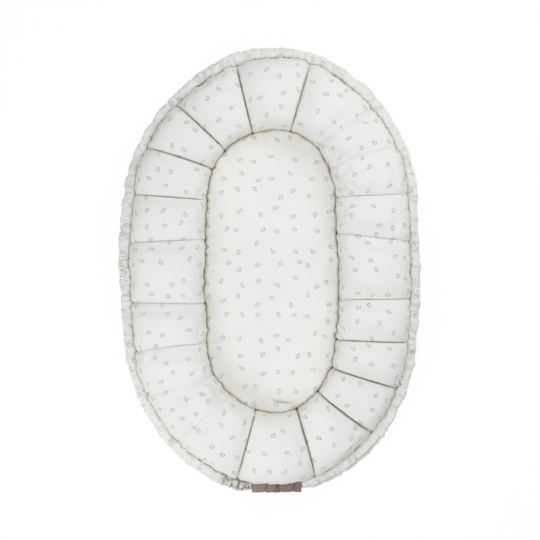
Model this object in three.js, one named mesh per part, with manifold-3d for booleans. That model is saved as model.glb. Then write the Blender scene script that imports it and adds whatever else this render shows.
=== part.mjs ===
// Infant lounger: an oval nest of twenty stuffed chambers sewn round a well, with a gathered casing
// at its rim and a loose mattress in the well. Millimetres, +Z up, +Y towards the head end.
// The origin is on the floor, under the middle of the nest.
import * as THREE from "three";
import { mergeVertices } from "three/addons/utils/BufferGeometryUtils.js";
import Module from "manifold-3d";

const wasm = await Module();
wasm.setup();

// The well, an oval with straight sides and half-round ends
const wellRadius = 128;
const wellStraight = 290;

// The stuffed bolster round it, from the well's edge to the casing
const bolsterSideWidth = 141;
const bolsterEndWidth = 136;
const shoulderDip = 10;
const crownHeight = 115;
const beltHeight = 40;
const flankRun = 34;
const seamTuck = 6;
const seamDropShare = 0.5;
const crownFullness = 2.35;
const puffFullness = 0.35;

// The sewn lines between chambers: angles from the end axis, and one place along each straight side
const endSeamAngles = [16.5, 45.5, 67.5, 90];
const sideSeamFromMiddle = 59;

// Cloths and fillings
const clothThickness = 1.6;
const fillGap = 0.6;
const seatGap = 0.3;
const waddingThickness = 15.5;
const liningThickness = 1.2;

// The gathered casing, the elastic in it and the tab at the foot end
const casingRadius = 10.5;
const casingBoreRadius = 6;
const gatherDepth = 1.9;
const elasticRadius = 2.4;
const tabLength = 97;
const tabOverlap = 9;
const tabThickness = 1.6;

// The loose mattress
const mattressGap = 2.2;
const mattressClothThickness = 1.2;
const mattressSideHeight = 21;
const mattressEdgeRound = 11;
const mattressCrownRise = 5;
const mattressEdgeTuck = 3;
const mattressCoreRadius = 16;

// How finely the curved forms are cut into facets
const chamberSteps = 6;
const crownSteps = 6;
const flankSteps = 3;
const gathers = 36;
const stepsPerGather = 3;
const casingSides = 7;
const boreSteps = 54;
const boreSides = 6;
const tabSteps = 8;
const tabArcSteps = 8;
const tabOpeningAngle = 50;
const ovalSteps = 72;
const mattressOvalSteps = 44;
const mattressEdgeSteps = 3;
const mattressCrownSteps = 3;

// One overrun for all cuts
const cutOverrun = 2;

const printedCotton = new THREE.MeshStandardMaterial({ color: 0xecebe6, roughness: 0.9, metalness: 0 });
const plainCotton = new THREE.MeshStandardMaterial({ color: 0xe8e6df, roughness: 0.92, metalness: 0 });
const fibreFill = new THREE.MeshStandardMaterial({ color: 0xf6f5f1, roughness: 1, metalness: 0 });
const foam = new THREE.MeshStandardMaterial({ color: 0xf3efdf, roughness: 0.95, metalness: 0 });
const brownTwill = new THREE.MeshStandardMaterial({ color: 0x84746e, roughness: 0.85, metalness: 0 });
const elasticCord = new THREE.MeshStandardMaterial({ color: 0xdedcd4, roughness: 0.8, metalness: 0 });

const quarterTurn = Math.PI / 2;
const wellArc = quarterTurn * wellRadius;
const wellPerimeter = 4 * wellArc + 2 * wellStraight;
const footEnd = wellPerimeter / 2;
const underside = clothThickness + seatGap;

/** The point of the well's edge at a distance walked clockwise from the head end, and the way out of it. */
function wellEdge(walked) {
  const around = ((walked % wellPerimeter) + wellPerimeter) % wellPerimeter;
  const onRight = around - wellArc;
  const onFoot = onRight - wellStraight;
  const onLeft = onFoot - 2 * wellArc;
  const onHead = onLeft - wellStraight;
  const half = wellStraight / 2;
  if (onRight > 0 && onFoot <= 0) {
    return { x: wellRadius, y: half - onRight, outX: 1, outY: 0 };
  }
  if (onLeft > 0 && onHead <= 0) {
    return { x: -wellRadius, y: onLeft - half, outX: -1, outY: 0 };
  }
  const atFoot = onFoot > 0 && onLeft <= 0;
  const turned = atFoot ? quarterTurn + onFoot / wellRadius : (onHead > 0 ? onHead - wellArc : around) / wellRadius;
  const outX = Math.sin(turned);
  const outY = Math.cos(turned);
  const centreY = atFoot ? -half : half;
  return { x: wellRadius * outX, y: centreY + wellRadius * outY, outX, outY };
}

/** A point of the nest: walked round the well, then out from its edge and up from the floor. */
function placed(walked, out, up) {
  const edge = wellEdge(walked);
  return new THREE.Vector3(edge.x + edge.outX * out, edge.y + edge.outY * out, up);
}

/** The bolster's width, widest at the sides and narrowest on the four shoulders. */
function bolsterWidth(walked) {
  const half = wellPerimeter / 2;
  const fromEnd = ((walked % half) + half) % half;
  const share = Math.min(fromEnd, half - fromEnd) / (half / 2);
  const eased = share * share * (3 - 2 * share);
  const dip = Math.sin(Math.PI * share) ** 2 * shoulderDip;
  return THREE.MathUtils.lerp(bolsterEndWidth, bolsterSideWidth, eased) - dip;
}

/** The twenty sewn lines, each as its distance walked round the well, with the head chamber between the last and first. */
function seamPlaces() {
  const quarter = endSeamAngles.map((angle) => THREE.MathUtils.degToRad(angle) * wellRadius);
  quarter.push(wellArc + wellStraight / 2 - sideSeamFromMiddle);
  const half = [...quarter, ...quarter.map((place) => footEnd - place).reverse()];
  return [...half, ...half.map((place) => place + footEnd)];
}

/**
 * A closed solid through rings of points, with flat caps on its first and last rings unless it closes on itself.
 * From the point backFrom on, a ring runs back along its inside, and its facets are split the other way to match.
 */
function loft(rings, capFaces, { closesOnItself = false, backFrom = Infinity } = {}) {
  const count = rings[0].length;
  const faces = [];
  const spans = closesOnItself ? rings.length : rings.length - 1;
  for (let ring = 0; ring < spans; ring += 1) {
    const here = ring * count;
    const next = ((ring + 1) % rings.length) * count;
    for (let point = 0; point < count; point += 1) {
      const beside = (point + 1) % count;
      if (point >= backFrom) {
        faces.push(here + point, here + beside, next + point);
        faces.push(here + beside, next + beside, next + point);
      } else {
        faces.push(here + point, here + beside, next + beside);
        faces.push(here + point, next + beside, next + point);
      }
    }
  }
  if (!closesOnItself) {
    const last = (rings.length - 1) * count;
    for (const [a, b, c] of capFaces) {
      faces.push(c, b, a);
      faces.push(last + a, last + b, last + c);
    }
  }
  const positions = rings.flat().flatMap((point) => [point.x, point.y, point.z]);
  const geometry = new THREE.BufferGeometry();
  geometry.setAttribute("position", new THREE.Float32BufferAttribute(positions, 3));
  geometry.setIndex(faces);
  return geometry;
}

/** A section swept round the nest: sectionAt gives its points, out and up, at each distance walked. */
function sweep(stations, sectionAt, options = {}) {
  const sections = stations.map(sectionAt);
  const rings = sections.map((section, at) => section.map((point) => placed(stations[at], point.x, point.y)));
  return loft(rings, THREE.ShapeUtils.triangulateShape(sections[0], []), options);
}

/** The manifold solid of a closed geometry. */
function solidOf(geometry) {
  const bare = geometry.clone();
  bare.deleteAttribute("normal");
  bare.deleteAttribute("uv");
  const merged = mergeVertices(bare);
  return new wasm.Manifold(
    new wasm.Mesh({
      numProp: 3,
      vertProperties: merged.attributes.position.array,
      triVerts: new Uint32Array(merged.index.array),
    }),
  );
}

/** A geometry less another, both closed. */
function cut(from, tool) {
  const mesh = solidOf(from).subtract(solidOf(tool)).getMesh();
  const geometry = new THREE.BufferGeometry();
  geometry.setAttribute("position", new THREE.BufferAttribute(mesh.vertProperties, 3));
  geometry.setIndex(new THREE.BufferAttribute(mesh.triVerts, 1));
  return geometry;
}

const nest = new THREE.Group();

/** A named piece of the nest, in its place. */
function addPiece(group, name, geometry, material) {
  geometry.computeVertexNormals();
  const mesh = new THREE.Mesh(geometry, material);
  mesh.name = name;
  group.add(mesh);
}

/** How far a chamber is puffed out at a share of its length: none at its seams and full in its middle. */
function puffAt(share) {
  return (4 * share * (1 - share)) ** puffFullness;
}

/** A number's power with its sign kept. */
function signedPower(value, power) {
  return Math.sign(value) * Math.abs(value) ** power;
}

/**
 * The line of a chamber's skin from the foot of its outer flank, up over the crown and down to the well's floor.
 * The inset moves it inwards, for the inside of the cloth or the skin of the filling.
 */
function chamberLine(width, puff, inset) {
  const tuck = seamTuck * (1 - puff) + inset;
  const crown = beltHeight + (crownHeight - beltHeight) * (1 - seamDropShare * (1 - puff)) - inset;
  const outer = width - tuck;
  const footOut = width - flankRun;
  const points = [];
  for (let step = 0; step <= flankSteps; step += 1) {
    const angle = (quarterTurn * step) / flankSteps;
    const drop = (beltHeight - underside - inset) * Math.cos(angle);
    points.push(new THREE.Vector2(footOut + (outer - footOut) * Math.sin(angle), beltHeight - drop));
  }
  for (let step = 1; step <= crownSteps; step += 1) {
    const angle = (Math.PI * step) / crownSteps;
    const acrossShare = signedPower(Math.cos(angle), 2 / crownFullness);
    const upShare = Math.abs(Math.sin(angle)) ** (2 / crownFullness);
    const middle = (outer + tuck) / 2;
    const up = step === crownSteps ? beltHeight : beltHeight + (crown - beltHeight) * upShare;
    points.push(new THREE.Vector2(middle + ((outer - tuck) / 2) * acrossShare, up));
  }
  points.push(new THREE.Vector2(tuck, underside));
  return points;
}

/** Stations from one seam to the next, closer together beside the seams, where the cloth turns down. */
function chamberStations(from, to, steps) {
  return Array.from({ length: steps + 1 }, (_, step) => {
    const share = (1 - Math.cos((Math.PI * step) / steps)) / 2;
    return { walked: from + (to - from) * share, puff: puffAt(share) };
  });
}

/** The quilted cloth over a run of chambers: one sheet, drawn down at each seam. */
function quiltCloth(seams) {
  const stations = [];
  for (let chamber = 0; chamber + 1 < seams.length; chamber += 1) {
    const run = chamberStations(seams[chamber], seams[chamber + 1], chamberSteps);
    stations.push(...(chamber === 0 ? run : run.slice(1)));
  }
  stations[0].walked += seatGap / 2;
  stations[stations.length - 1].walked -= seatGap / 2;
  const puffs = new Map(stations.map((station) => [station.walked, station.puff]));
  return sweep(
    stations.map((station) => station.walked),
    (walked) => {
      const width = bolsterWidth(walked);
      const puff = puffs.get(walked);
      return [...chamberLine(width, puff, 0), ...chamberLine(width, puff, clothThickness).reverse()];
    },
    { backFrom: flankSteps + crownSteps + 2 },
  );
}

/** The fibre filling of one chamber, a loaf with flat ends that stops short of the cloth. */
function chamberFill(from, to) {
  const inset = clothThickness + fillGap;
  const stations = chamberStations(from, to, chamberSteps);
  stations[0].walked += fillGap;
  stations[chamberSteps].walked -= fillGap;
  const puffs = new Map(stations.map((station) => [station.walked, station.puff]));
  return sweep(
    stations.map((station) => station.walked),
    (walked) => chamberLine(bolsterWidth(walked), puffs.get(walked), inset),
  );
}

/** Even stations over a stretch walked round the nest. */
function evenStations(from, to, steps) {
  return Array.from({ length: steps + 1 }, (_, step) => from + ((to - from) * step) / steps);
}

/** How far out the casing's axis lies, so that its flat inner side is seated on the bolster. */
function casingAxisOut(walked) {
  return bolsterWidth(walked) + seatGap + casingRadius * Math.cos(Math.PI / casingSides);
}

/** A round section on the casing's axis, with one flat side towards the bolster and its outer side drawn in by a fold. */
function roundSection(walked, radius, sides, { fold = 0, shift = 0 } = {}) {
  const axisOut = casingAxisOut(walked) - shift;
  return Array.from({ length: sides }, (_, side) => {
    const angle = (2 * Math.PI * (side + 0.5)) / sides + Math.PI;
    const reach = radius - (fold * (1 + Math.cos(angle))) / 2;
    return new THREE.Vector2(axisOut + reach * Math.cos(angle), beltHeight + reach * Math.sin(angle));
  });
}

/** Half of a length of the rim at the foot end, as the distance walked on the well's edge. */
function halfAtFoot(length) {
  return ((length / 2) * wellRadius) / (wellRadius + bolsterEndWidth + casingRadius);
}

const mouth = halfAtFoot(tabLength - 2 * tabOverlap);
const casingStart = footEnd + mouth;
const casingEnd = footEnd + wellPerimeter - mouth;
const boreStations = evenStations(casingStart, casingEnd, boreSteps);

/** The casing: a tube of cloth gathered into folds by its elastic, open at both ends under the tab. */
function gatheredCasing() {
  const steps = gathers * stepsPerGather;
  const tube = sweep(evenStations(casingStart, casingEnd, steps), (walked) => {
    const share = (walked - casingStart) / (casingEnd - casingStart);
    const fold = (1 - Math.cos(2 * Math.PI * gathers * share)) / 2;
    return roundSection(walked, casingRadius, casingSides, { fold: gatherDepth * fold });
  });
  const ends = halfAtFoot(cutOverrun);
  const through = [casingStart - ends, ...boreStations.slice(1, -1), casingEnd + ends];
  return cut(tube, sweep(through, (walked) => roundSection(walked, casingBoreRadius, boreSides)));
}

/** The elastic: a closed loop of cord that lies against the inner side of the casing's bore. */
function elasticLoop() {
  const flatShare = Math.cos(Math.PI / boreSides);
  const shift = (casingBoreRadius - elasticRadius) * flatShare - seatGap;
  const acrossMouth = evenStations(boreStations[boreSteps], boreStations[0] + wellPerimeter, 2).slice(1, -1);
  const stations = [...boreStations, ...acrossMouth];
  return sweep(stations, (walked) => roundSection(walked, elasticRadius, boreSides, { shift }), {
    closesOnItself: true,
  });
}

/** The tab: a brown cloth wrapped over the casing's two mouths, open towards the bolster. */
function footTab() {
  const reach = Math.PI - THREE.MathUtils.degToRad(tabOpeningAngle);
  const bore = (casingRadius + seatGap) / Math.cos(reach / tabArcSteps);
  const half = halfAtFoot(tabLength);
  return sweep(evenStations(footEnd - half, footEnd + half, tabSteps), (walked) => {
    const axisOut = casingAxisOut(walked);
    const arc = (radius) =>
      Array.from({ length: tabArcSteps + 1 }, (_, step) => {
        const angle = reach * ((2 * step) / tabArcSteps - 1);
        return new THREE.Vector2(axisOut + radius * Math.cos(angle), beltHeight + radius * Math.sin(angle));
      });
    return [...arc(bore + tabThickness), ...arc(bore).reverse()];
  });
}

/** A flat sheet with the nest's oval outline, at a distance out from the well's edge. */
function ovalSheet(outAt, steps, bottom, thickness) {
  const outline = evenStations(0, wellPerimeter, steps)
    .slice(0, -1)
    .map((walked) => placed(walked, outAt(walked), 0))
    .reverse();
  const shape = new THREE.Shape(outline.map((point) => new THREE.Vector2(point.x, point.y)));
  const geometry = new THREE.ExtrudeGeometry(shape, { depth: thickness, bevelEnabled: false });
  return geometry.translate(0, 0, bottom);
}

/** Ovals stacked from the bottom up, each with a radius round the well's straight middle and a height. */
function stackedOvals(levels) {
  const rings = levels.map(({ radius, height }) =>
    evenStations(0, wellPerimeter, mattressOvalSteps)
      .slice(0, -1)
      .map((walked) => placed(walked, radius - wellRadius, height))
      .reverse(),
  );
  const outline = rings[0].map((point) => new THREE.Vector2(point.x, point.y));
  return loft(rings, THREE.ShapeUtils.triangulateShape(outline, []));
}

const liningBottom = underside + waddingThickness + seatGap;
const mattressBottom = liningBottom + liningThickness + seatGap;
const coverBottom = mattressBottom + mattressClothThickness + seatGap;
const mattressRadius = wellRadius - mattressGap;

/** The mattress's crowned form: drawn in at its bottom edge, rounded over its top edge and crowned to the middle. */
function crownedPad(bottom, inset) {
  const radius = mattressRadius - inset;
  const levels = [{ radius: radius - mattressEdgeTuck, height: bottom }];
  const shoulder = coverBottom + mattressSideHeight - inset;
  for (let step = 0; step <= mattressEdgeSteps; step += 1) {
    const angle = (quarterTurn * step) / mattressEdgeSteps;
    levels.push({
      radius: radius - mattressEdgeRound * (1 - Math.cos(angle)),
      height: shoulder - mattressEdgeRound * (1 - Math.sin(angle)),
    });
  }
  const edge = radius - mattressEdgeRound;
  for (let step = 1; step <= mattressCrownSteps; step += 1) {
    const share = 1 - step / mattressCrownSteps;
    const ringRadius = mattressCoreRadius + (edge - mattressCoreRadius) * share;
    levels.push({ radius: ringRadius, height: shoulder + mattressCrownRise * (1 - share ** 2) });
  }
  return stackedOvals(levels);
}

// The floor of the nest
const floorOutAt = (walked) => bolsterWidth(walked) - flankRun;
addPiece(nest, "underside_cloth", ovalSheet(floorOutAt, ovalSteps, 0, clothThickness), plainCotton);
addPiece(
  nest,
  "well_wadding",
  ovalSheet(() => -fillGap, mattressOvalSteps, underside, waddingThickness),
  fibreFill,
);
addPiece(
  nest,
  "well_lining",
  ovalSheet(() => -seatGap, mattressOvalSteps, liningBottom, liningThickness),
  plainCotton,
);

// The quilted bolster: four cloths, cut where the round ends meet the straight sides, over twenty fillings
const seams = seamPlaces();
const seamsPerEnd = endSeamAngles.length;
const chamberCount = seams.length;
const sideChambers = chamberCount / 2 - 2 * seamsPerEnd + 1;
const seamAt = (index) => seams[index % chamberCount] + wellPerimeter * Math.floor(index / chamberCount);
const clothRuns = [
  ["quilt_right", seamsPerEnd - 1, sideChambers],
  ["quilt_foot", seamsPerEnd - 1 + sideChambers, 2 * seamsPerEnd - 1],
  ["quilt_left", 3 * seamsPerEnd - 2 + sideChambers, sideChambers],
  ["quilt_head", 3 * seamsPerEnd - 2 + 2 * sideChambers, 2 * seamsPerEnd - 1],
];
for (const [name, first, chambers] of clothRuns) {
  const run = Array.from({ length: chambers + 1 }, (_, step) => seamAt(first + step));
  addPiece(nest, name, quiltCloth(run), printedCotton);
}
for (let chamber = 0; chamber < chamberCount; chamber += 1) {
  const name = `fill_${String(chamber + 1).padStart(2, "0")}`;
  addPiece(nest, name, chamberFill(seamAt(chamber), seamAt(chamber + 1)), fibreFill);
}

// The rim
addPiece(nest, "rim_casing", gatheredCasing(), printedCotton);
addPiece(nest, "rim_elastic", elasticLoop(), elasticCord);
addPiece(nest, "foot_tab", footTab(), brownTwill);

// The loose mattress, which lifts straight out of the well
const mattress = new THREE.Group();
nest.add(mattress);
const coverCavity = crownedPad(coverBottom - cutOverrun, mattressClothThickness);
addPiece(mattress, "mattress_top_cloth", cut(crownedPad(coverBottom, 0), coverCavity), printedCotton);
addPiece(
  mattress,
  "mattress_base_cloth",
  ovalSheet(() => -mattressGap - mattressEdgeTuck, mattressOvalSteps, mattressBottom, mattressClothThickness),
  plainCotton,
);
addPiece(mattress, "mattress_foam", crownedPad(coverBottom, mattressClothThickness + fillGap), foam);

export default nest;
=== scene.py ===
"""Infant lounger seen from straight above: a padded oval nest with a loose mattress.

Metres, +Z up, +Y towards the head end. The nest has twenty stuffed chambers round a well, a gathered
casing at its rim and a brown tab at its foot end.
"""

import logging
import math
from bisect import bisect_right
from collections.abc import Callable
from dataclasses import dataclass, field
from enum import Enum
from functools import lru_cache

import bmesh
import bpy
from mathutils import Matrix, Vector, noise

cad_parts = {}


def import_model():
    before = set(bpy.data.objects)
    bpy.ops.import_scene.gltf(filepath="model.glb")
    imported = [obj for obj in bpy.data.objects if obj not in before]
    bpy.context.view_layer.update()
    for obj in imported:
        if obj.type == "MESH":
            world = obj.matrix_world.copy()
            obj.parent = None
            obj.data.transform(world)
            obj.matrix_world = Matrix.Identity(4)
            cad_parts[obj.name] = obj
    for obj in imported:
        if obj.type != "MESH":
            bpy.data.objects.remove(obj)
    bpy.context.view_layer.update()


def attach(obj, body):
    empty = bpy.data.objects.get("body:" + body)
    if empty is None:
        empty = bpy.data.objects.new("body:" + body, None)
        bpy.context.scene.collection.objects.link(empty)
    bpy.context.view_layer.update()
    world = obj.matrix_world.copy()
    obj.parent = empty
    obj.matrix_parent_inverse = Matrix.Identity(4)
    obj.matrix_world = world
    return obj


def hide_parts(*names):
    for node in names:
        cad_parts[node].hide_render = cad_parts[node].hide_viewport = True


LOG = logging.getLogger("infant_lounger")
CLOTH_MAP = "cloth"
# The crease attribute is painted shade: a share of dark colour laid into seams, creases, gathers and the
# lines round the well and rim, where shade falls.
CREASE_SHADE = "crease"
# The warm attribute is a painted pale warm light beside creases and on edges, with random patches of it on
# the casing, and on the tab the paler worn end.
WARM_LIGHT_AND_WEAR = "warm"
ACROSS = "across"
ALONG = "along"
PIN = "sewn"
STRAIGHT_OUT = 0.9999
GRID_INSET = 1e-4
WELD_DISTANCE = 1e-6


class Body(Enum):
    """The two parts that move apart."""

    NEST = "nest"
    MATTRESS = "mattress"


class Facing(Enum):
    """Which way round the facets of a mapped grid are turned."""

    AS_LAID = 0
    TURNED = 1


class Pattern(float, Enum):
    """The sets of random waves and creases, one for each use."""

    LINE_BREAKS = 7.0
    RIM_WAVES = 9.0
    TAB_DENTS = 11.0
    RIM_STEPS = 12.0
    WELL_EDGE = 15.0
    CREAM_PATCHES = 17.0
    SEAM_SHADE = 19.0
    UNDERSIDE_PUCKERS = 21.0
    LINING_HOLLOWS = 31.0
    TOP_HOLLOWS = 41.0
    TOP_DENTS = 43.0
    TOP_PUCKERS = 45.0
    TOP_EDGE = 47.0
    TOP_SHADE = 49.0
    BASE_DENTS = 51.0
    FOAM_PORES = 53.0
    SMALL_CRUMPLES = 61.0
    LARGE_CRUMPLES = 63.0
    SHARP_CRUMPLES = 65.0
    GATHER_SWAY = 70.0
    GATHERS = 71.0
    SMALL_GATHERS = 73.0
    CASING_LUMPS = 75.0
    CASING_BREAKS = 77.0
    CASING_CREAM = 79.0
    CASING_SHADE = 81.0
    CASING_SPECKLES = 83.0


@dataclass(frozen=True)
class Edge:
    """A point of the well's edge and the way out of it, both in plan."""

    place: Vector
    out: Vector


@dataclass(frozen=True)
class NestPlan:
    """The nest's plan and the sizes that its pieces share."""

    well_radius: float = 0.128
    well_straight: float = 0.290
    side_width: float = 0.141
    end_width: float = 0.136
    shoulder_dip: float = 0.010
    crown: float = 0.115
    belt: float = 0.040
    floor: float = 0.0019
    flank_run: float = 0.034
    seat_gap: float = 0.0003
    casing_width: float = 0.0202
    rim_overhang: float = 0.0080
    rim_wave_height: float = 0.0042
    rim_wave_size: float = 0.016
    rim_wave_share: float = 0.2
    rim_step_size: float = 0.0058
    rim_step_share: float = 0.42
    seam_notch: float = 0.0020
    seam_notch_reach: float = 0.0026
    well_wave_height: float = 0.0044
    well_wave_size: float = 0.0090
    well_wave_at_ends: float = 0.4
    tab_from_middle: float = 0.0114
    well_places: tuple[float, ...] = (
        0.0038, 0.0035, -0.0030, -0.0020, -0.0005, 0.0040, 0.0050, 0.0035,
        -0.0022, -0.0025, 0.0015, 0.0068, 0.0018, -0.0030, -0.0030, -0.0030,
        -0.0020, 0.0035, 0.0005, 0.0000, -0.0030, -0.0030, -0.0005, -0.0005,
    )
    rim_places: tuple[float, ...] = (
        0.1425, 0.1325, 0.1330, 0.1400, 0.1405, 0.1430, 0.1438, 0.1410,
        0.1370, 0.1300, 0.1330, 0.1430, 0.1415, 0.1325, 0.1310, 0.1375,
        0.1435, 0.1445, 0.1483, 0.1445, 0.1405, 0.1300, 0.1270, 0.1360,
    )
    outline_places: tuple[float, ...] = (
        0.1618, 0.1561, 0.1528, 0.1573, 0.1596, 0.1631, 0.1633, 0.1608,
        0.1558, 0.1518, 0.1578, 0.1631, 0.1626, 0.1546, 0.1503, 0.1568,
        0.1628, 0.1663, 0.1693, 0.1666, 0.1596, 0.1486, 0.1461, 0.1596,
    )
    seam_inner: tuple[float, ...] = (
        0.038, 0.098, 0.146, 0.204, 0.274, 0.402, 0.480, 0.536, 0.591, 0.643,
        0.722, 0.781, 0.833, 0.898, 0.974, 1.098, 1.174, 1.237, 1.283, 1.348,
    )
    seam_outer: tuple[float, ...] = (
        0.037, 0.110, 0.153, 0.200, 0.290, 0.401, 0.485, 0.533, 0.582, 0.650,
        0.724, 0.790, 0.844, 0.888, 0.976, 1.092, 1.184, 1.230, 1.281, 1.351,
    )

    @property
    def end_arc(self) -> float:
        """The length of a quarter of the well's round ends."""
        return math.pi / 2 * self.well_radius

    @property
    def perimeter(self) -> float:
        """The length walked right round the well."""
        return 4 * self.end_arc + 2 * self.well_straight

    @property
    def foot(self) -> float:
        """The distance walked to the middle of the foot end."""
        return self.perimeter / 2

    @property
    def tab_middle(self) -> float:
        """The distance walked to the middle of the tab, a little to the right of the foot end's middle."""
        return self.foot - self.rim_walk(self.tab_from_middle)

    @property
    def chambers(self) -> int:
        """How many chambers the bolster has."""
        return len(self.seam_inner)

    def edge(self, walked: float) -> Edge:
        """Find the well's edge at a distance walked clockwise from the head end.

        Args:
            walked: The distance in metres, which may run past a whole turn.

        Returns:
            The point and its outward direction.
        """
        around = walked % self.perimeter
        half = self.well_straight / 2
        side = around - self.end_arc
        if 0 < side <= self.well_straight:
            return Edge(Vector((self.well_radius, half - side)), Vector((1, 0)))
        far_side = side - self.well_straight - 2 * self.end_arc
        if 0 < far_side <= self.well_straight:
            return Edge(Vector((-self.well_radius, far_side - half)), Vector((-1, 0)))
        at_foot = side > self.well_straight and far_side <= 0
        if at_foot:
            turned = math.pi / 2 + (side - self.well_straight) / self.well_radius
        elif side > 0:
            turned = (around - self.perimeter) / self.well_radius
        else:
            turned = around / self.well_radius
        out = Vector((math.sin(turned), math.cos(turned)))
        centre = Vector((0, -half if at_foot else half))
        return Edge(centre + out * self.well_radius, out)

    def place(self, walked: float, out: float, up: float) -> Vector:
        """Place a point of the nest.

        Args:
            walked: The distance walked.
            out: The distance out of the well.
            up: The height above the floor.

        Returns:
            The point.
        """
        edge = self.edge(walked)
        flat = edge.place + edge.out * out
        return Vector((flat.x, flat.y, up))

    def width(self, walked: float) -> float:
        """The bolster's width, widest at the sides and narrowest on the four shoulders.

        Args:
            walked: The distance walked.

        Returns:
            The width.
        """
        half = self.perimeter / 2
        from_end = walked % half
        share = min(from_end, half - from_end) / (half / 2)
        dip = math.sin(math.pi * share) ** 2 * self.shoulder_dip
        return self.end_width + (self.side_width - self.end_width) * smooth(share) - dip

    def rim_walk(self, length: float) -> float:
        """A length of the casing at the foot end, as a distance walked on the well's edge."""
        return length * self.well_radius / (self.well_radius + self.end_width + self.casing_width / 2)

    def walked_at(self, place: Vector) -> float:
        """Find the distance walked to the part of the well's edge that is nearest a point.

        Args:
            place: The point, whose height doesn't matter.

        Returns:
            The distance, from 0 to a whole turn.
        """
        half = self.well_straight / 2
        if abs(place.y) <= half:
            if place.x > 0:
                return self.end_arc + half - place.y
            return 3 * self.end_arc + self.well_straight + half + place.y
        if place.y > half:
            return math.atan2(place.x, place.y - half) * self.well_radius % self.perimeter
        turned = math.atan2(place.x, place.y + half) % math.tau
        return self.end_arc + self.well_straight + (turned - math.pi / 2) * self.well_radius

    def to_seam(self, walked: float) -> float:
        """Find how far the nearest seam's outer end is.

        Args:
            walked: The distance walked.

        Returns:
            The distance on the well's edge.
        """
        around = walked % self.perimeter
        before_first = self.seam_outer[-1] - self.perimeter
        past_last = self.seam_outer[0] + self.perimeter
        ends = (before_first, *self.seam_outer, past_last)
        after = bisect_right(ends, around)
        return min(around - ends[after - 1], ends[after] - around)

    def rim(self, walked: float) -> float:
        """How far out the chambers' tops reach: less on the four shoulders and at the seams, and unevenly.

        Args:
            walked: The distance walked.

        Returns:
            The distance out of the well.
        """
        width = self.width(walked)
        place = self.place(walked, width, 0)
        waves = self.rim_wave_share * ripple(place, self.rim_wave_size, Pattern.RIM_WAVES)
        steps = self.rim_step_share * ripple(place, self.rim_step_size, Pattern.RIM_STEPS)
        uneven = self.rim_wave_height * (waves + steps)
        notch = self.seam_notch * math.exp(-((self.to_seam(walked) / self.seam_notch_reach) ** 2))
        reach = self.round_value(self.rim_places, walked) + uneven
        return min(reach, width + self.rim_overhang) - notch

    def round_value(self, places: tuple[float, ...], walked: float) -> float:
        """Read a smooth line right round the nest from its evenly spaced places.

        Args:
            places: The line's distance out of the well, in the middle of each equal part of the way round.
            walked: The distance walked.

        Returns:
            The distance out of the well there.
        """
        spot = walked % self.perimeter / self.perimeter * len(places) - 0.5
        first = math.floor(spot)
        share = spot - first
        before, start, end, after = (places[(first + step) % len(places)] for step in (-1, 0, 1, 2))
        bend = (3 * (start - end) + after - before) * share
        bend = (bend + 2 * before - 5 * start + 4 * end - after) * share
        return start + 0.5 * share * (end - before + bend)

    def outline(self, walked: float) -> float:
        """How far out of the well the casing reaches before its gathers."""
        return self.round_value(self.outline_places, walked)

    def side_share(self, walked: float) -> float:
        """How near a place is to the well's straight sides.

        Args:
            walked: The distance walked.

        Returns:
            1 on the straight sides and 0 at the middle of the round ends.
        """
        half = self.perimeter / 2
        from_end = walked % half
        return smooth(min(from_end, half - from_end) / self.end_arc)

    def well_line(self, walked: float) -> float:
        """How far the chambers' inner walls stand out of the well's edge, unevenly.

        Args:
            walked: The distance walked.

        Returns:
            The distance out of the well.
        """
        place = self.edge(walked).place.to_3d()
        waves = 0.5 * ripple(place, self.well_wave_size, Pattern.WELL_EDGE)
        share = self.well_wave_at_ends + (1 - self.well_wave_at_ends) * self.side_share(walked)
        return self.round_value(self.well_places, walked) + waves * (self.well_wave_height * share)

    def middle(self, place: Vector) -> Vector:
        """The point in plan on the well's straight middle line that is nearest a point."""
        return Vector((0, max(min(place.y, self.well_straight / 2), -self.well_straight / 2)))

    def stretch(self, walked: float, out: float) -> float:
        """How much longer a line out of the well is than the well's edge: the same on the straight sides."""
        straight = abs(self.edge(walked).out.x) > STRAIGHT_OUT
        return 1.0 if straight else 1 + out / self.well_radius

    def seam(self, index: int, out_share: float) -> float:
        """The distance walked to a seam, at a share of the way from the well to the rim.

        Args:
            index: The seam's number, which may run past the last seam.
            out_share: 0 at the well and 1 at the rim.

        Returns:
            The distance walked, which keeps growing past a whole turn.
        """
        turns, number = divmod(index, self.chambers)
        inner, outer = self.seam_inner[number], self.seam_outer[number]
        return inner + (outer - inner) * out_share + turns * self.perimeter


PLAN = NestPlan()


def smooth(share: float) -> float:
    """Ease a share from 0 to 1 with flat ends."""
    share = min(max(share, 0.0), 1.0)
    return share * share * (3 - 2 * share)


def ripple(place: Vector, size: float, seed: float) -> float:
    """Even random waves of about one unit high, the same on each run.

    Args:
        place: Where to read the waves.
        size: The waves' size in metres.
        seed: A number that picks another set of waves.

    Returns:
        A value from about -1 to 1.
    """
    return min(max(2 * noise.noise(place / size + Vector((seed, seed * 1.7, -seed))), -1.0), 1.0)


def crease_line(place: Vector, size: float, seed: float, width: float) -> float:
    """Sharp random creases, 1 in their depth and 0 between them.

    Args:
        place: Where to read the creases.
        size: Their spacing in metres.
        seed: A number that picks another set of creases.
        width: The share of the spacing that a crease takes.

    Returns:
        A value from 0 to 1.
    """
    return max(1 - abs(ripple(place, size, seed)) / width, 0.0) ** 2


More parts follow.
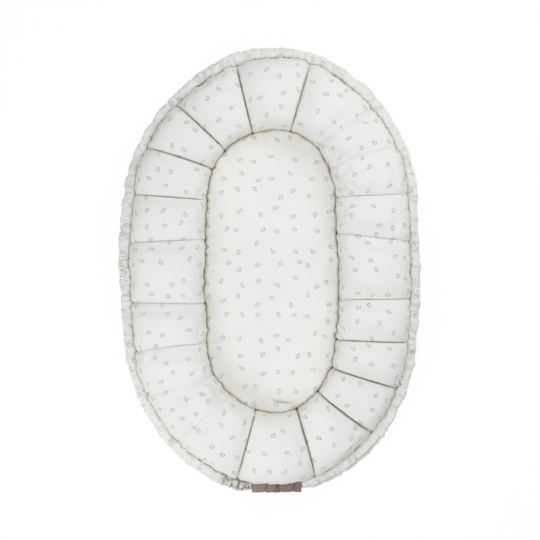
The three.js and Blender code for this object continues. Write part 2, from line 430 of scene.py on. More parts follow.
class NodeBench:
    """Lays out the nodes of a tree."""

    def __init__(self, tree: bpy.types.NodeTree) -> None:
        """Take a tree to work on."""
        self.tree = tree

    def add(self, kind: str, inputs: dict | None = None, **settings: object) -> bpy.types.Node:
        """Add a node, set its options and fill its sockets.

        Args:
            kind: The node's type.
            inputs: Socket name or number to a value, or to a socket to link from.
            settings: The node's own options.

        Returns:
            The node.
        """
        node = self.tree.nodes.new(kind)
        for name, value in settings.items():
            setattr(node, name, value)
        for name, value in (inputs or {}).items():
            self.fill(node.inputs[name], value)
        return node

    def fill(self, socket: bpy.types.NodeSocket, value: object) -> None:
        """Link a socket to another, or set its value.

        Args:
            socket: The socket to fill.
            value: The other socket, or the value.
        """
        if isinstance(value, bpy.types.NodeSocket):
            self.tree.links.new(value, socket)
        else:
            socket.default_value = value

    def math(self, operation: str, *values: object, clamp: bool = False) -> bpy.types.NodeSocket:
        """Do one sum on sockets or numbers.

        Args:
            operation: The sum's name.
            values: Its terms.
            clamp: Whether the result is kept from 0 to 1.

        Returns:
            The result's socket.
        """
        node = self.add("ShaderNodeMath", operation=operation, use_clamp=clamp)
        for socket, value in zip(node.inputs, values):
            self.fill(socket, value)
        return node.outputs[0]

    def fade(
        self, value: object, low: float, high: float, start: float = 0.0, end: float = 1.0
    ) -> bpy.types.NodeSocket:
        """Turn a value smoothly from one span into another.

        Args:
            value: The value's socket.
            low: Where the value's span starts.
            high: Where it ends.
            start: The result at low.
            end: The result at high.

        Returns:
            The result's socket.
        """
        node = self.add("ShaderNodeMapRange", interpolation_type="SMOOTHSTEP")
        for socket, entry in zip(node.inputs, (value, low, high, start, end)):
            self.fill(socket, entry)
        return node.outputs[0]

    def blend(self, share: object, first: object, second: object) -> bpy.types.NodeSocket:
        """Mix two colours.

        Args:
            share: How much of the second colour there is.
            first: The first colour.
            second: The second colour.

        Returns:
            The mixed colour's socket.
        """
        node = self.add("ShaderNodeMix", data_type="RGBA")
        for socket, value in zip((node.inputs[0], node.inputs[6], node.inputs[7]), (share, first, second)):
            self.fill(socket, value)
        return node.outputs[2]

    def scatter(self, place: object, size: float, detail: float = 2.0) -> bpy.types.NodeSocket:
        """Cloudy noise of a size in metres."""
        inputs = {"Vector": place, "Scale": 1 / size, "Detail": detail}
        return self.add("ShaderNodeTexNoise", inputs).outputs["Fac"]

    def waves(
        self, place: object, way: str, scale: float, sway: float, detail: float
    ) -> bpy.types.NodeSocket:
        """Lay even bands.

        Args:
            place: The place's socket.
            way: The direction of the bands.
            scale: How many of them there are to a length.
            sway: How unevenly they run.
            detail: How fine their unevenness is.

        Returns:
            The bands' height.
        """
        inputs = {"Vector": place, "Scale": scale, "Distortion": sway, "Detail": detail}
        return self.add("ShaderNodeTexWave", inputs, bands_direction=way).outputs["Fac"]

    def seen_plainly(self) -> bpy.types.NodeSocket:
        """Tell what the camera sees from other light.

        Returns:
            1 for what it sees straight, in a shine or through glass, and 0 for the rest.
        """
        rays = self.add("ShaderNodeLightPath").outputs
        seen = self.math("MAXIMUM", rays["Is Camera Ray"], rays["Is Glossy Ray"])
        return self.math("MAXIMUM", seen, rays["Is Transmission Ray"])

    def attribute(self, name: str) -> bpy.types.NodeSocket:
        """Read a number that the mesh carries at each corner."""
        return self.add("ShaderNodeAttribute", attribute_name=name, attribute_type="GEOMETRY").outputs["Fac"]

    def bump(
        self, height: object, strength: float, distance: float, below: object = None
    ) -> bpy.types.NodeSocket:
        """Raise the surface by a height.

        Args:
            height: The height's socket.
            strength: How much of it is used.
            distance: The height of 1 in metres.
            below: An earlier bump to build on.

        Returns:
            The normal's socket.
        """
        node = self.add("ShaderNodeBump", {"Height": height, "Strength": strength, "Distance": distance})
        if below is not None:
            self.fill(node.inputs["Normal"], below)
        return node.outputs[0]


class MaterialBench(NodeBench):
    """Lays out the nodes of one material."""

    def __init__(self, name: str) -> None:
        """Start a material with a surface shader.

        Args:
            name: The material's name.
        """
        self.material = bpy.data.materials.new(name)
        self.material.use_nodes = True
        super().__init__(self.material.node_tree)
        self.shader = self.tree.nodes["Principled BSDF"]

    def surface(self, **values: object) -> bpy.types.Material:
        """Fill the surface shader and hand over the material.

        Args:
            values: The shader's sockets by name, with _ for a space, and what goes in each.

        Returns:
            The material.
        """
        for name, value in values.items():
            self.fill(self.shader.inputs[name.replace("_", " ")], value)
        return self.material


Colour = tuple[float, float, float, float]


def srgb(red: int, green: int, blue: int) -> Colour:
    """Turn a screen colour into the linear colour that materials take.

    Args:
        red: The red level, from 0 to 255.
        green: The green level.
        blue: The blue level.

    Returns:
        The colour, with an alpha of 1.
    """

    def linear(level: int) -> float:
        """Turn one level into its linear share."""
        share = level / 255
        return share / 12.92 if share <= 0.04045 else ((share + 0.055) / 1.055) ** 2.4

    return linear(red), linear(green), linear(blue), 1.0


def dulled(colour: Colour, share: float) -> Colour:
    """Darken a colour to a share of its light."""
    return (*(channel * share for channel in colour[:3]), 1.0)


@dataclass(frozen=True)
class Cotton:
    """A plain weave of cotton, with an optional small scattered print."""

    name: str
    colour: Colour = srgb(241, 241, 240)
    # The cream colour is painted warm light beside creases and edges, and the next colour is painted shade
    # in seams, creases and gathers.
    cream: Colour = srgb(237, 232, 211)
    crease_shade_colour: Colour = srgb(134, 127, 108)
    print_colour: Colour = srgb(158, 156, 155)
    print_spacing: float = 0.0345
    oval_length: float = 0.0043
    oval_width: float = 0.0029
    line: float = 0.0009
    ring_core: float = 0.35
    ring_fade: float = 0.75
    gap_span: tuple[float, float] = (0.35, 0.55)
    gap_strength: float = 0.35
    stroke_reach: float = 0.5
    stroke_place: float = 0.3
    stroke_width: float = 0.2
    stroke_fade: float = 0.4
    stroke_strength: float = 0.45
    scatter: float = 0.62
    thread: float = 0.0008
    thread_sway: float = 0.6
    thread_relief: tuple[float, float] = (0.3, 0.0002)
    fuzz: float = 0.004
    fuzz_relief: tuple[float, float] = (0.25, 0.0006)
    cloud_size: float = 0.06
    cloud_span: tuple[float, float] = (0.3, 0.7)
    cloud_light: float = 0.975
    wear_size: float = 0.02
    wear_span: tuple[float, float] = (0.25, 0.6)
    worn_strength: float = 0.7
    printed: bool = True
    roughness: float = 0.88
    specular: float = 0.2
    sheen: float = 0.15
    sheen_roughness: float = 0.5

    def motif(self, bench: NodeBench, flat: bpy.types.NodeSocket) -> bpy.types.NodeSocket:
        """Scatter the print: small open ovals, each with two short strokes in it.

        Args:
            bench: The material's nodes.
            flat: The place on the flat cloth, in metres.

        Returns:
            1 on the print and 0 beside it.
        """
        scaled = bench.add("ShaderNodeVectorMath", operation="SCALE")
        bench.fill(scaled.inputs[0], flat)
        bench.fill(scaled.inputs["Scale"], 1 / self.print_spacing)
        cells = bench.add(
            "ShaderNodeTexVoronoi",
            {"Vector": scaled.outputs[0], "Scale": 1.0, "Randomness": self.scatter},
            voronoi_dimensions="2D",
        )
        offset = bench.add("ShaderNodeVectorMath", operation="SUBTRACT")
        bench.fill(offset.inputs[0], scaled.outputs[0])
        bench.fill(offset.inputs[1], cells.outputs["Position"])
        real = bench.add("ShaderNodeVectorMath", operation="SCALE")
        bench.fill(real.inputs[0], offset.outputs[0])
        bench.fill(real.inputs["Scale"], self.print_spacing)
        chance = bench.add("ShaderNodeSeparateColor", {"Color": cells.outputs["Color"]})
        turn = bench.math("MULTIPLY", chance.outputs[0], math.tau)
        turned = bench.add("ShaderNodeVectorRotate", {"Vector": real.outputs[0], "Angle": turn})
        turned.rotation_type = "Z_AXIS"
        axes = bench.add("ShaderNodeSeparateXYZ", {"Vector": turned.outputs[0]})
        along, across = axes.outputs[0], axes.outputs[1]
        ring_x = bench.math("POWER", bench.math("DIVIDE", along, self.oval_length), 2.0)
        ring_y = bench.math("POWER", bench.math("DIVIDE", across, self.oval_width), 2.0)
        radius = bench.math("SQRT", bench.math("ADD", ring_x, ring_y))
        off_ring = bench.math("ABSOLUTE", bench.math("SUBTRACT", radius, 1.0))
        off_ring = bench.math("MULTIPLY", off_ring, self.oval_width)
        ring = bench.fade(off_ring, self.line * self.ring_core, self.line * self.ring_fade, 1.0, 0.0)
        gaps = bench.fade(bench.scatter(flat, self.oval_width), *self.gap_span, self.gap_strength)
        ring = bench.math("MULTIPLY", ring, gaps)
        stroke_end, stroke_side = self.oval_length * self.stroke_reach, self.oval_width * self.stroke_place
        past_end = bench.math("SUBTRACT", bench.math("ABSOLUTE", along), stroke_end)
        from_stroke = bench.math("SUBTRACT", bench.math("ABSOLUTE", across), stroke_side)
        stroke_half = self.line * self.stroke_width
        past_side = bench.math("SUBTRACT", bench.math("ABSOLUTE", from_stroke), stroke_half)
        past = bench.math("MAXIMUM", past_end, past_side)
        strokes = bench.fade(past, 0.0, self.line * self.stroke_fade, self.stroke_strength, 0.0)
        return bench.math("MAXIMUM", ring, strokes)

    def weave(self, bench: NodeBench, flat: bpy.types.NodeSocket) -> bpy.types.NodeSocket:
        """Weave the crossing threads.

        Args:
            bench: The material's nodes.
            flat: The place on the flat cloth, in metres.

        Returns:
            The threads' height.
        """
        scale = 1 / (self.thread * 2 * math.pi)
        crossing = (bench.waves(flat, way, scale, self.thread_sway, 1.0) for way in ("X", "Y"))
        return bench.math("MULTIPLY", *crossing)

    def make(self) -> bpy.types.Material:
        """Build the cloth's material.

        Returns:
            The material.
        """
        bench = MaterialBench(self.name)
        flat = bench.add("ShaderNodeUVMap", uv_map=CLOTH_MAP).outputs[0]
        solid = bench.add("ShaderNodeTexCoord").outputs["Object"]
        cloudy = bench.fade(bench.scatter(solid, self.cloud_size), *self.cloud_span)
        colour = bench.blend(cloudy, dulled(self.colour, self.cloud_light), self.colour)
        # Painted light, then painted shade: the warm tint beside creases and edges, and the dark colour in
        # seams, creases and gathers, each by its share on the mesh.
        colour = bench.blend(bench.attribute(WARM_LIGHT_AND_WEAR), colour, self.cream)
        colour = bench.blend(bench.attribute(CREASE_SHADE), colour, self.crease_shade_colour)
        if self.printed:
            worn = bench.fade(bench.scatter(flat, self.wear_size), *self.wear_span, self.worn_strength)
            mark = bench.math("MULTIPLY", self.motif(bench, flat), worn)
            colour = bench.blend(mark, colour, self.print_colour)
        threads = self.weave(bench, flat)
        fuzzy = bench.bump(bench.scatter(solid, self.fuzz, 3.0), *self.fuzz_relief)
        return bench.surface(
            Base_Color=colour,
            Normal=bench.bump(threads, *self.thread_relief, fuzzy),
            Roughness=self.roughness,
            Specular_IOR_Level=self.specular,
            Sheen_Weight=self.sheen,
            Sheen_Roughness=self.sheen_roughness,
        )


@dataclass(frozen=True)
class Twill:
    """A brown cloth woven with a fine slanting rib."""

    name: str
    colour: Colour = srgb(155, 136, 128)
    dark: Colour = srgb(112, 94, 88)
    worn: Colour = srgb(172, 157, 150)
    # Painted shade in the tab's puckers and at its hems: its colour and how much of it is laid on.
    crease_shade_colour: Colour = srgb(84, 62, 57)
    crease_shade_strength: float = 0.7
    rib: float = 0.0011
    rib_relief: tuple[float, float] = (0.5, 0.0003)
    rib_sway: float = 1.2
    cross_sway: float = 2.0
    cloud_size: float = 0.006
    cloud_span: tuple[float, float] = (0.3, 0.7)
    light_share: float = 0.35
    roughness: float = 0.82
    specular: float = 0.25
    sheen: float = 0.1

    def make(self) -> bpy.types.Material:
        """Build the twill's material.

        Returns:
            The material.
        """
        bench = MaterialBench(self.name)
        flat = bench.add("ShaderNodeUVMap", uv_map=CLOTH_MAP).outputs[0]
        ribs = bench.waves(flat, "DIAGONAL", 1 / (self.rib * 2 * math.pi), self.rib_sway, 2.0)
        crosswise = bench.waves(flat, "Y", 1 / (self.rib * 4 * math.pi), self.cross_sway, 2.0)
        clouds = bench.scatter(flat, self.cloud_size, 4.0)
        cloudy = bench.fade(clouds, *self.cloud_span, 0.0, self.light_share)
        share = bench.math("MULTIPLY", bench.math("ADD", ribs, crosswise), self.light_share)
        share = bench.math("ADD", share, cloudy, clamp=True)
        colour = bench.blend(share, self.dark, self.colour)
        colour = bench.blend(bench.attribute(WARM_LIGHT_AND_WEAR), colour, self.worn)
        # Painted shade in the puckers and hems.
        crease = bench.math("MULTIPLY", bench.attribute(CREASE_SHADE), self.crease_shade_strength)
        colour = bench.blend(crease, colour, self.crease_shade_colour)
        return bench.surface(
            Base_Color=colour,
            Normal=bench.bump(ribs, *self.rib_relief),
            Roughness=self.roughness,
            Specular_IOR_Level=self.specular,
            Sheen_Weight=self.sheen,
        )


@dataclass(frozen=True)
class Filling:
    """A soft white filling: loose fibre or foam, by the size of its tufts or pores."""

    name: str
    colour: Colour
    grain: float
    relief: float
    strength: float = 0.6
    tuft_span: tuple[float, float] = (0.3, 0.7)
    dull_light: float = 0.86
    roughness: float = 0.95
    specular: float = 0.15

    def make(self) -> bpy.types.Material:
        """Build the filling's material.

        Returns:
            The material.
        """
        bench = MaterialBench(self.name)
        solid = bench.add("ShaderNodeTexCoord").outputs["Object"]
        tufts = bench.scatter(solid, self.grain, 5.0)
        deep = dulled(self.colour, self.dull_light)
        colour = bench.blend(bench.fade(tufts, *self.tuft_span), deep, self.colour)
        return bench.surface(
            Base_Color=colour,
            Normal=bench.bump(tufts, self.strength, self.relief),
            Roughness=self.roughness,
            Specular_IOR_Level=self.specular,
        )


@dataclass(frozen=True)
class Finishes:
    """The materials of the nest, each made once."""

    printed: bpy.types.Material = field(default_factory=Cotton("printed cotton").make)
    plain: bpy.types.Material = field(
        default_factory=Cotton("plain cotton", colour=srgb(236, 234, 228), printed=False).make
    )
    twill: bpy.types.Material = field(default_factory=Twill("brown twill").make)
    fibre: bpy.types.Material = field(
        default_factory=Filling("fibre filling", srgb(247, 246, 242), 0.006, 0.0012).make
    )
    foam: bpy.types.Material = field(
        default_factory=Filling("pad foam", srgb(244, 240, 224), 0.0016, 0.0004).make
    )
    elastic: bpy.types.Material = field(
        default_factory=Filling("elastic cord", srgb(223, 221, 213), 0.0012, 0.0003).make
    )


@dataclass
class MappedGrid:
    """A flat grid of quads whose corners are moved to their places on a piece."""

    columns: int
    rows: int
    place: Callable[[float, float], Vector]
    facing: Facing = Facing.AS_LAID
    closed_columns: bool = False
    closed_rows: bool = False
    flat: Callable[[float, float], tuple[float, float]] | None = None
    # tint gives each corner's share of painted shade and of painted warm light.
    tint: Callable[[float, float], tuple[float, float]] | None = None

    def build(self, name: str) -> bpy.types.Object:
        """Make the piece's mesh and its object.

        Args:
            name: The object's name.

        Returns:
            The object, with its cloth map, its painted shade, its painted warm light (wear on the tab), and
            each corner's two shares.
        """
        bm = bmesh.new()
        uv = bm.loops.layers.uv.new(CLOTH_MAP)
        for layer in (CREASE_SHADE, WARM_LIGHT_AND_WEAR, ACROSS, ALONG):
            bm.verts.layers.float.new(layer)
        deep, warm, first, second = (bm.verts.layers.float[layer] for layer in (CREASE_SHADE, WARM_LIGHT_AND_WEAR, ACROSS, ALONG))
        bmesh.ops.create_grid(bm, x_segments=self.columns, y_segments=self.rows, size=0.5)
        shares = {vert: (vert.co.x + 0.5, vert.co.y + 0.5) for vert in bm.verts}
        if self.flat is not None:
            for face in bm.faces:
                middle = sum(shares[vert][0] for vert in face.verts) / len(face.verts)
                for loop in face.loops:
                    across, along = shares[loop.vert]
                    inside = across + (middle - across) * GRID_INSET
                    loop[uv].uv = self.flat(inside, along)
        for vert, (across, along) in shares.items():
            vert.co = self.place(across, along)
            vert[first], vert[second] = across, along
            # Painted shade and painted warm light, corner by corner.
            vert[deep], vert[warm] = self.tint(across, along) if self.tint else (0.0, 0.0)
        if self.closed_columns or self.closed_rows:
            bmesh.ops.remove_doubles(bm, verts=bm.verts, dist=WELD_DISTANCE)
        if self.facing is Facing.TURNED:
            bmesh.ops.reverse_faces(bm, faces=bm.faces)
        return as_object(bm, name)


def as_object(bm: bmesh.types.BMesh, name: str) -> bpy.types.Object:
    """Turn a bmesh into an object in the scene, shaded smoothly.

    Args:
        bm: The bmesh, which is freed.
        name: The object's name.

    Returns:
        The object.
    """
    mesh = bpy.data.meshes.new(name)
    bm.to_mesh(mesh)
    bm.free()
    mesh.polygons.foreach_set("use_smooth", [True] * len(mesh.polygons))
    obj = bpy.data.objects.new(name, mesh)
    bpy.context.scene.collection.objects.link(obj)
    return obj


def shares(obj: bpy.types.Object) -> list[tuple[float, float]]:
    """Read each corner's two shares on the grid that it was laid out on."""
    layers = (obj.data.attributes[layer].data for layer in (ACROSS, ALONG))
    return [(one.value, other.value) for one, other in zip(*layers)]


def give_thickness(obj: bpy.types.Object, thickness: float, levels: int = 1) -> None:
    """Smooth a cloth's mesh and give it its thickness on the inside.

    Args:
        obj: The cloth's object.
        thickness: The thickness in metres.
        levels: How many times the mesh is divided to smooth it.
    """
    if levels:
        round_off = obj.modifiers.new("round off", "SUBSURF")
        round_off.levels = round_off.render_levels = levels
        round_off.boundary_smooth = "PRESERVE_CORNERS"
    wall = obj.modifiers.new("cloth thickness", "SOLIDIFY")
    wall.thickness = thickness
    wall.offset = -1.0


@dataclass(frozen=True)
class Inflation:
    """How a sewn cloth swells over its filling."""

    pressure: float = 3.0
    growth: float = 0.05
    frames: int = 16
    reach: float = 0.007
    stretch: float = 15.0
    bend: float = 0.4
    shear: float = 5.0
    mass: float = 0.3
    quality: int = 5

    def run(self, obj: bpy.types.Object, pinned: Callable[[float, float], float]) -> list[Vector]:
        """Let the cloth swell, and read where its points come to rest.

        Args:
            obj: The cloth's object, whose mesh is left as it was.
            pinned: How firmly a corner is held, from 0 to 1, by its two shares on the grid.

        Returns:
            The rested places, none further than the reach from its start.
        """
        start = [vert.co.copy() for vert in obj.data.vertices]
        group = obj.vertex_groups.new(name=PIN)
        for index, (across, along) in enumerate(shares(obj)):
            group.add([index], pinned(across, along), "REPLACE")
        swell = obj.modifiers.new("swell", "CLOTH")
        cloth = swell.settings
        cloth.quality = self.quality
        cloth.mass = self.mass
        cloth.tension_stiffness = cloth.compression_stiffness = self.stretch
        cloth.shear_stiffness = self.shear
        cloth.bending_stiffness = self.bend
        cloth.vertex_group_mass = PIN
        cloth.pin_stiffness = 1.0
        cloth.use_pressure = True
        cloth.uniform_pressure_force = self.pressure
        cloth.shrink_min = -self.growth
        cloth.effector_weights.gravity = 0.0
        swell.point_cache.frame_start = 1
        swell.point_cache.frame_end = self.frames
        scene = bpy.context.scene
        for frame in range(1, self.frames + 1):
            scene.frame_set(frame)
        seen = obj.evaluated_get(bpy.context.evaluated_depsgraph_get())
        rested = [vert.co.copy() for vert in seen.data.vertices]
        scene.frame_set(1)
        obj.modifiers.remove(swell)
        obj.vertex_groups.remove(group)
        for index, (before, after) in enumerate(zip(start, rested)):
            move = after - before
            if move.length > self.reach:
                rested[index] = before + move * (self.reach / move.length)
        return rested


def stage_piece(obj: bpy.types.Object, body: Body, material: bpy.types.Material) -> None:
    """Give a piece its material, let it ride on its body and report it.

    Args:
        obj: The piece's object.
        body: The body that it moves with.
        material: Its material.
    """
    obj.data.materials.clear()
    obj.data.materials.append(material)
    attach(obj, body.value)
    LOG.info("%s: %d faces", obj.name, len(obj.data.polygons))


@dataclass(frozen=True)
class QuiltShade:
    """Painted shade and light on the bolster's cloth: how dark its seams and edges are painted, and where a
    pale warm tint is painted as light beside them.

    A reach across a chamber is in columns of the grid, and one round the skin is a share of it.
    """

    seam_patch: float = 0.012
    seam_level: float = 0.75
    seam_change: float = 0.35
    seam_reach: float = 1.3
    seam_least: float = 0.06
    seam_by_pull: float = 0.7
    pull_power: float = 2.2
    halo: float = 0.2
    halo_reach: float = 6.0
    end_strength: float = 0.6
    end_columns: float = 3.0
    end_reach: float = 0.06
    end_start: float = 0.80
    end_run: float = 0.08
    line_patch: float = 0.0085
    line_level: float = 0.5
    line_change: float = 1.1
    line_least: float = 0.03
    rim_reach: float = 0.035
    well_start: float = 0.85
    well_run: float = 0.05
    well_at_ends: float = 0.45
    well_at_sides: float = 0.55
    cream_patch: float = 0.03
    cream_least: float = 0.4
    cream_change: float = 0.6
    cream_at_rim: float = 0.9
    cream_rim_reach: float = 0.14
    cream_at_seam: float = 0.3
    cream_seam_reach: float = 9.0
    cream_well_start: float = 0.75
    cream_well_run: float = 0.09


@dataclass(frozen=True)
class Crumples:
    """The small folds in the bolster's cloth, which gather at its seams and its two long edges."""

    height: float = 0.0008
    level: float = 0.35
    at_seam: float = 1.2
    at_rim: float = 1.3
    seam_reach: float = 0.09
    seam_start: float = 0.01
    rim_place: float = 0.06
    well_place: float = 0.8
    edge_reach: float = 0.05
    small_size: float = 0.011
    small_share: float = 0.6
    large_size: float = 0.024
    large_share: float = 0.4
    sharp_size: float = 0.03
    sharp_share: float = 0.8
    sharp_width: float = 0.35
    ends_at: float = 0.92

    def folds(self, place: Vector) -> float:
        """Read the folds' height at a place.

        Args:
            place: The place on the cloth.

        Returns:
            The height, about -1 to 1.
        """
        small = self.small_share * ripple(place, self.small_size, Pattern.SMALL_CRUMPLES)
        large = self.large_share * ripple(place, self.large_size, Pattern.LARGE_CRUMPLES)
        sharp = crease_line(place, self.sharp_size, Pattern.SHARP_CRUMPLES, self.sharp_width)
        return small + large - self.sharp_share * sharp


@dataclass
class Bolster:
    """The ring of stuffed chambers: four quilted cloths over twenty fillings."""

    finishes: Finishes
    cloth: float = 0.0016
    lip_radius: float = 0.0068
    lip_depth: float = 0.0062
    groove_depth: float = 0.015
    groove_width: float = 0.0006
    arch_depth: float = 0.012
    well_tuck: float = 0.006
    rim_tuck: float = 0.0015
    swell_rise: float = 0.003
    settling: float = 0.6
    settling_reach: float = 0.25
    fullness: float = 3.2
    columns: int = 28
    rows: int = 64
    flank_share: float = 0.15
    wall_share: float = 0.11
    ease: float = 1.06
    apart: float = 0.31
    pull_shares: tuple[float, ...] = (
        0.85, 0.28, 0.22, 0.3, 0.4, 0.5, 0.62, 0.85, 0.92, 0.92,
        0.85, 0.25, 0.22, 0.28, 0.45, 0.45, 0.5, 0.72, 0.85, 0.92,
    )
    runs: tuple[tuple[str, int, int], ...] = (
        ("right", 3, 3), ("foot", 6, 7), ("left", 13, 3), ("head", 16, 7),
    )
    turn_spread: float = 0.035
    column_crowding: float = 1.8
    sewn_margin: float = 0.01
    sewn_from: float = 0.98
    seam_gap: float = 0.0002
    filling_inset: float = 0.006
    filling_start: float = 0.06
    filling_run: float = 0.88
    filling_crown: float = 0.92
    filling_floor: float = 0.08
    filling_grid: tuple[int, int] = (10, 40)
    tuft_size: float = 0.03
    tuft_height: float = 0.001
    tufts_above: float = 0.02
    swelling: Inflation = field(default_factory=Inflation)
    shade: QuiltShade = field(default_factory=QuiltShade)
    crumples: Crumples = field(default_factory=Crumples)

    def closed(self, distance: float) -> tuple[float, float]:
        """How far the cloth is drawn down beside a seam.

        Args:
            distance: The distance to the seam.

        Returns:
            The lip's share and the groove's share, both 1 on the seam.
        """
        inset = min(distance / self.lip_radius, 1.0)
        lip = 1 - math.sqrt(max(1 - (1 - inset) ** 2, 0.0))
        return lip, math.exp(-((distance / self.groove_width) ** 2))

    def drawn(self, chamber: int, along: float, length: float) -> tuple[float, float]:
        """How far a chamber's skin lies below its full height, and how far it is tucked in.

        Args:
            chamber: The number of the seam where the chamber starts.
            along: The share of the way to the next seam.
            length: The distance between the seams.

        Returns:
            The depth in metres, and the tuck as a share.
        """
        depth = self.arch_depth * (1 - 4 * along * (1 - along))
        tuck = 0.0
        for index, distance in ((chamber, along * length), (chamber + 1, (1 - along) * length)):
            pull = self.pull_shares[index % PLAN.chambers]
            lip, groove = self.closed(distance)
            depth += pull * self.lip_depth * lip + pull**2 * self.groove_depth * groove
            tuck += pull * lip
        return depth, tuck

    def section(
        self, t: float, walked: float, drawn: tuple[float, float], inset: float = 0.0
    ) -> tuple[float, float]:
        """A point of the chamber's skin, from the foot of its outer flank to the well's floor.

        Args:
            t: The share of the way round the skin.
            walked: The distance walked to the section.
            drawn: How far the skin is drawn down and tucked in there.
            inset: How far the skin is moved inwards.

        Returns:
            Its distance out of the well and its height.
        """
        depth, tuck = drawn
        crown = PLAN.crown - self.swell_rise - depth - inset
        outer = PLAN.rim(walked) - self.rim_tuck * tuck - inset
        inner = self.well_tuck * tuck + inset + PLAN.well_line(walked)
        foot_out = PLAN.width(walked) - PLAN.flank_run
        if t < self.flank_share:
            angle = math.pi / 2 * t / self.flank_share
            drop = (PLAN.belt - PLAN.floor - inset) * math.cos(angle)
            return foot_out + (outer - foot_out) * math.sin(angle), PLAN.belt - drop
        if t > 1 - self.wall_share:
            down = (t - 1 + self.wall_share) / self.wall_share
            return inner, PLAN.belt + (PLAN.floor - PLAN.belt) * down
        turn = (t - self.flank_share) / (1 - self.flank_share - self.wall_share)
        angle = math.pi * self.even_turn(turn)
        cosine, sine = math.cos(angle), max(math.sin(angle), 0.0)
        across = math.copysign(abs(cosine) ** (2 / self.fullness), cosine)
        middle = (outer + inner) / 2
        up = PLAN.belt + (crown - PLAN.belt) * sine ** (2 / self.fullness)
        return middle + (outer - inner) / 2 * across, up

    def even_turn(self, share: float) -> float:
        """Spread the points evenly over the crown, whose turn alone would crowd them at its corners."""
        return share + self.turn_spread * math.sin(4 * math.pi * share)

    def spread(self, share: float) -> float:
        """Set the columns of a chamber closer together beside its seams.

        Args:
            share: The column's share of the way along the chamber.

        Returns:
            The share where it stands.
        """
        near = min(share, 1 - share)
        eased = 0.5 * (2 * near) ** self.column_crowding
        return eased if share < 0.5 else 1 - eased

    def point(self, chamber: int, along: float, t: float, inset: float = 0.0) -> Vector:
        """A point of a chamber's skin.

        Args:
            chamber: The number of the seam where the chamber starts.
            along: The share of the way to the next seam.
            t: The share of the way round the skin.
            inset: How far the skin is moved inwards.

        Returns:
            The point.
        """
        first, last = PLAN.seam(chamber, 0.5), PLAN.seam(chamber + 1, 0.5)
        walked = first + (last - first) * along
        stretch = PLAN.stretch(walked, PLAN.width(walked) / 2)
        drawn = self.drawn(chamber, along, (last - first) * stretch)
        share = self.section(t, walked, drawn, inset)[0] / PLAN.width(walked)
        first, last = PLAN.seam(chamber, share), PLAN.seam(chamber + 1, share)
        walked = first + (last - first) * along
        out, up = self.section(t, walked, drawn, inset)
        return PLAN.place(walked, out, up)

    def split(self, across: float, chambers: int) -> tuple[int, float]:
        """Find the chamber of a run, and the share along it, at a share of the whole run."""
        whole = min(int(across * chambers), chambers - 1)
        return whole, across * chambers - whole

    def flat_place(self, start: int, chambers: int) -> Callable[[float, float], tuple[float, float]]:
        """Make the function that lays a run's cloth flat, chamber by chamber.

        Args:
            start: The seam where the cloth starts.
            chambers: How many chambers it covers.

        Returns:
            The function, which gives a place on the flat cloth in metres.
        """

        @lru_cache(maxsize=None)
        def row(number: int, step: int) -> tuple[float, float]:
            """Measure one row of a chamber, once for all its columns.

            Args:
                number: The chamber's number in the run.
                step: The row's number.

            Returns:
                The chamber's width there, and the length of cloth up to the row.
            """
            middle = self.point(start + number, 0.5, step / self.rows)
            before = row(number, step - 1)[1] if step else 0.0
            last_step = self.point(start + number, 0.5, max(step - 1, 0) / self.rows)
            out = out_of(middle)
            share = min(max(out / PLAN.side_width, 0.0), 1.0)
            ends = [PLAN.place(PLAN.seam(start + number + end, share), out, 0) for end in (0, 1)]
            return (ends[1] - ends[0]).length * self.ease, before + (middle - last_step).length

        def flat(across: float, t: float) -> tuple[float, float]:
            """Place one corner on the flat cloth.

            Args:
                across: The share of the way along the run.
                t: The share of the way round the skin.

            Returns:
                The place in metres.
            """
            number, along = self.split(across, chambers)
            span, travelled = row(number, round(t * self.rows))
            return (self.spread(along) - 0.5) * span + self.apart * (start + number), travelled

        return flat

    def hold(self, across: float, t: float, chambers: int) -> float:
        """How firmly a corner is sewn: on the seams and along the two long edges.

        Args:
            across: The share of the way along the run.
            t: The share of the way round the skin.
            chambers: How many chambers the cloth covers.

        Returns:
            1 where it is sewn and 0 where it is free.
        """
        along = across * chambers
        beside = abs(along - round(along)) * self.columns
        on_edge = t < self.flank_share + self.sewn_margin or t > self.sewn_from
        return 1.0 if beside < 0.5 or on_edge else 0.0

    def between_seams(self, start: int, number: int, place: Vector) -> Vector:
        """Keep a point on its own chamber's side of both its seams, and between the well and the rim.

        Args:
            start: The seam where the cloth starts.
            number: The chamber's number in the run.
            place: The point.

        Returns:
            The point where it may stand.
        """
        for index, side in ((start + number, 1), (start + number + 1, -1)):
            inner = PLAN.edge(PLAN.seam(index, 0.0)).place
            outer = PLAN.place(PLAN.seam(index, 1.0), PLAN.width(PLAN.seam(index, 1.0)), 0).xy
            line = (outer - inner).normalized()
            clockwise = Vector((line.y, -line.x)) * side
            short = self.seam_gap - (place.xy - inner).dot(clockwise)
            if short > 0:
                place = Vector((place.x + clockwise.x * short, place.y + clockwise.y * short, place.z))
        out, walked = out_of(place), PLAN.walked_at(place)
        kept = min(max(out, PLAN.well_line(walked)), PLAN.rim(walked))
        outward = (place.xy - PLAN.middle(place)).normalized() * (kept - out)
        return Vector((place.x + outward.x, place.y + outward.y, place.z))

    def quilt(self, name: str, start: int, chambers: int) -> None:
        """Make the cloth over a run of chambers, and swell it over their fillings.

        Args:
            name: Which side of the nest it lies on.
            start: The seam where it starts.
            chambers: How many chambers it covers.
        """

        def place(across: float, t: float) -> Vector:
            """Place one corner on the chambers."""
            number, along = self.split(across, chambers)
            return self.point(start + number, self.spread(along), t)

        def tint(across: float, t: float) -> tuple[float, float]:
            """Shade one corner."""
            return self.tint(start, self.split(across, chambers), t, place(across, t))

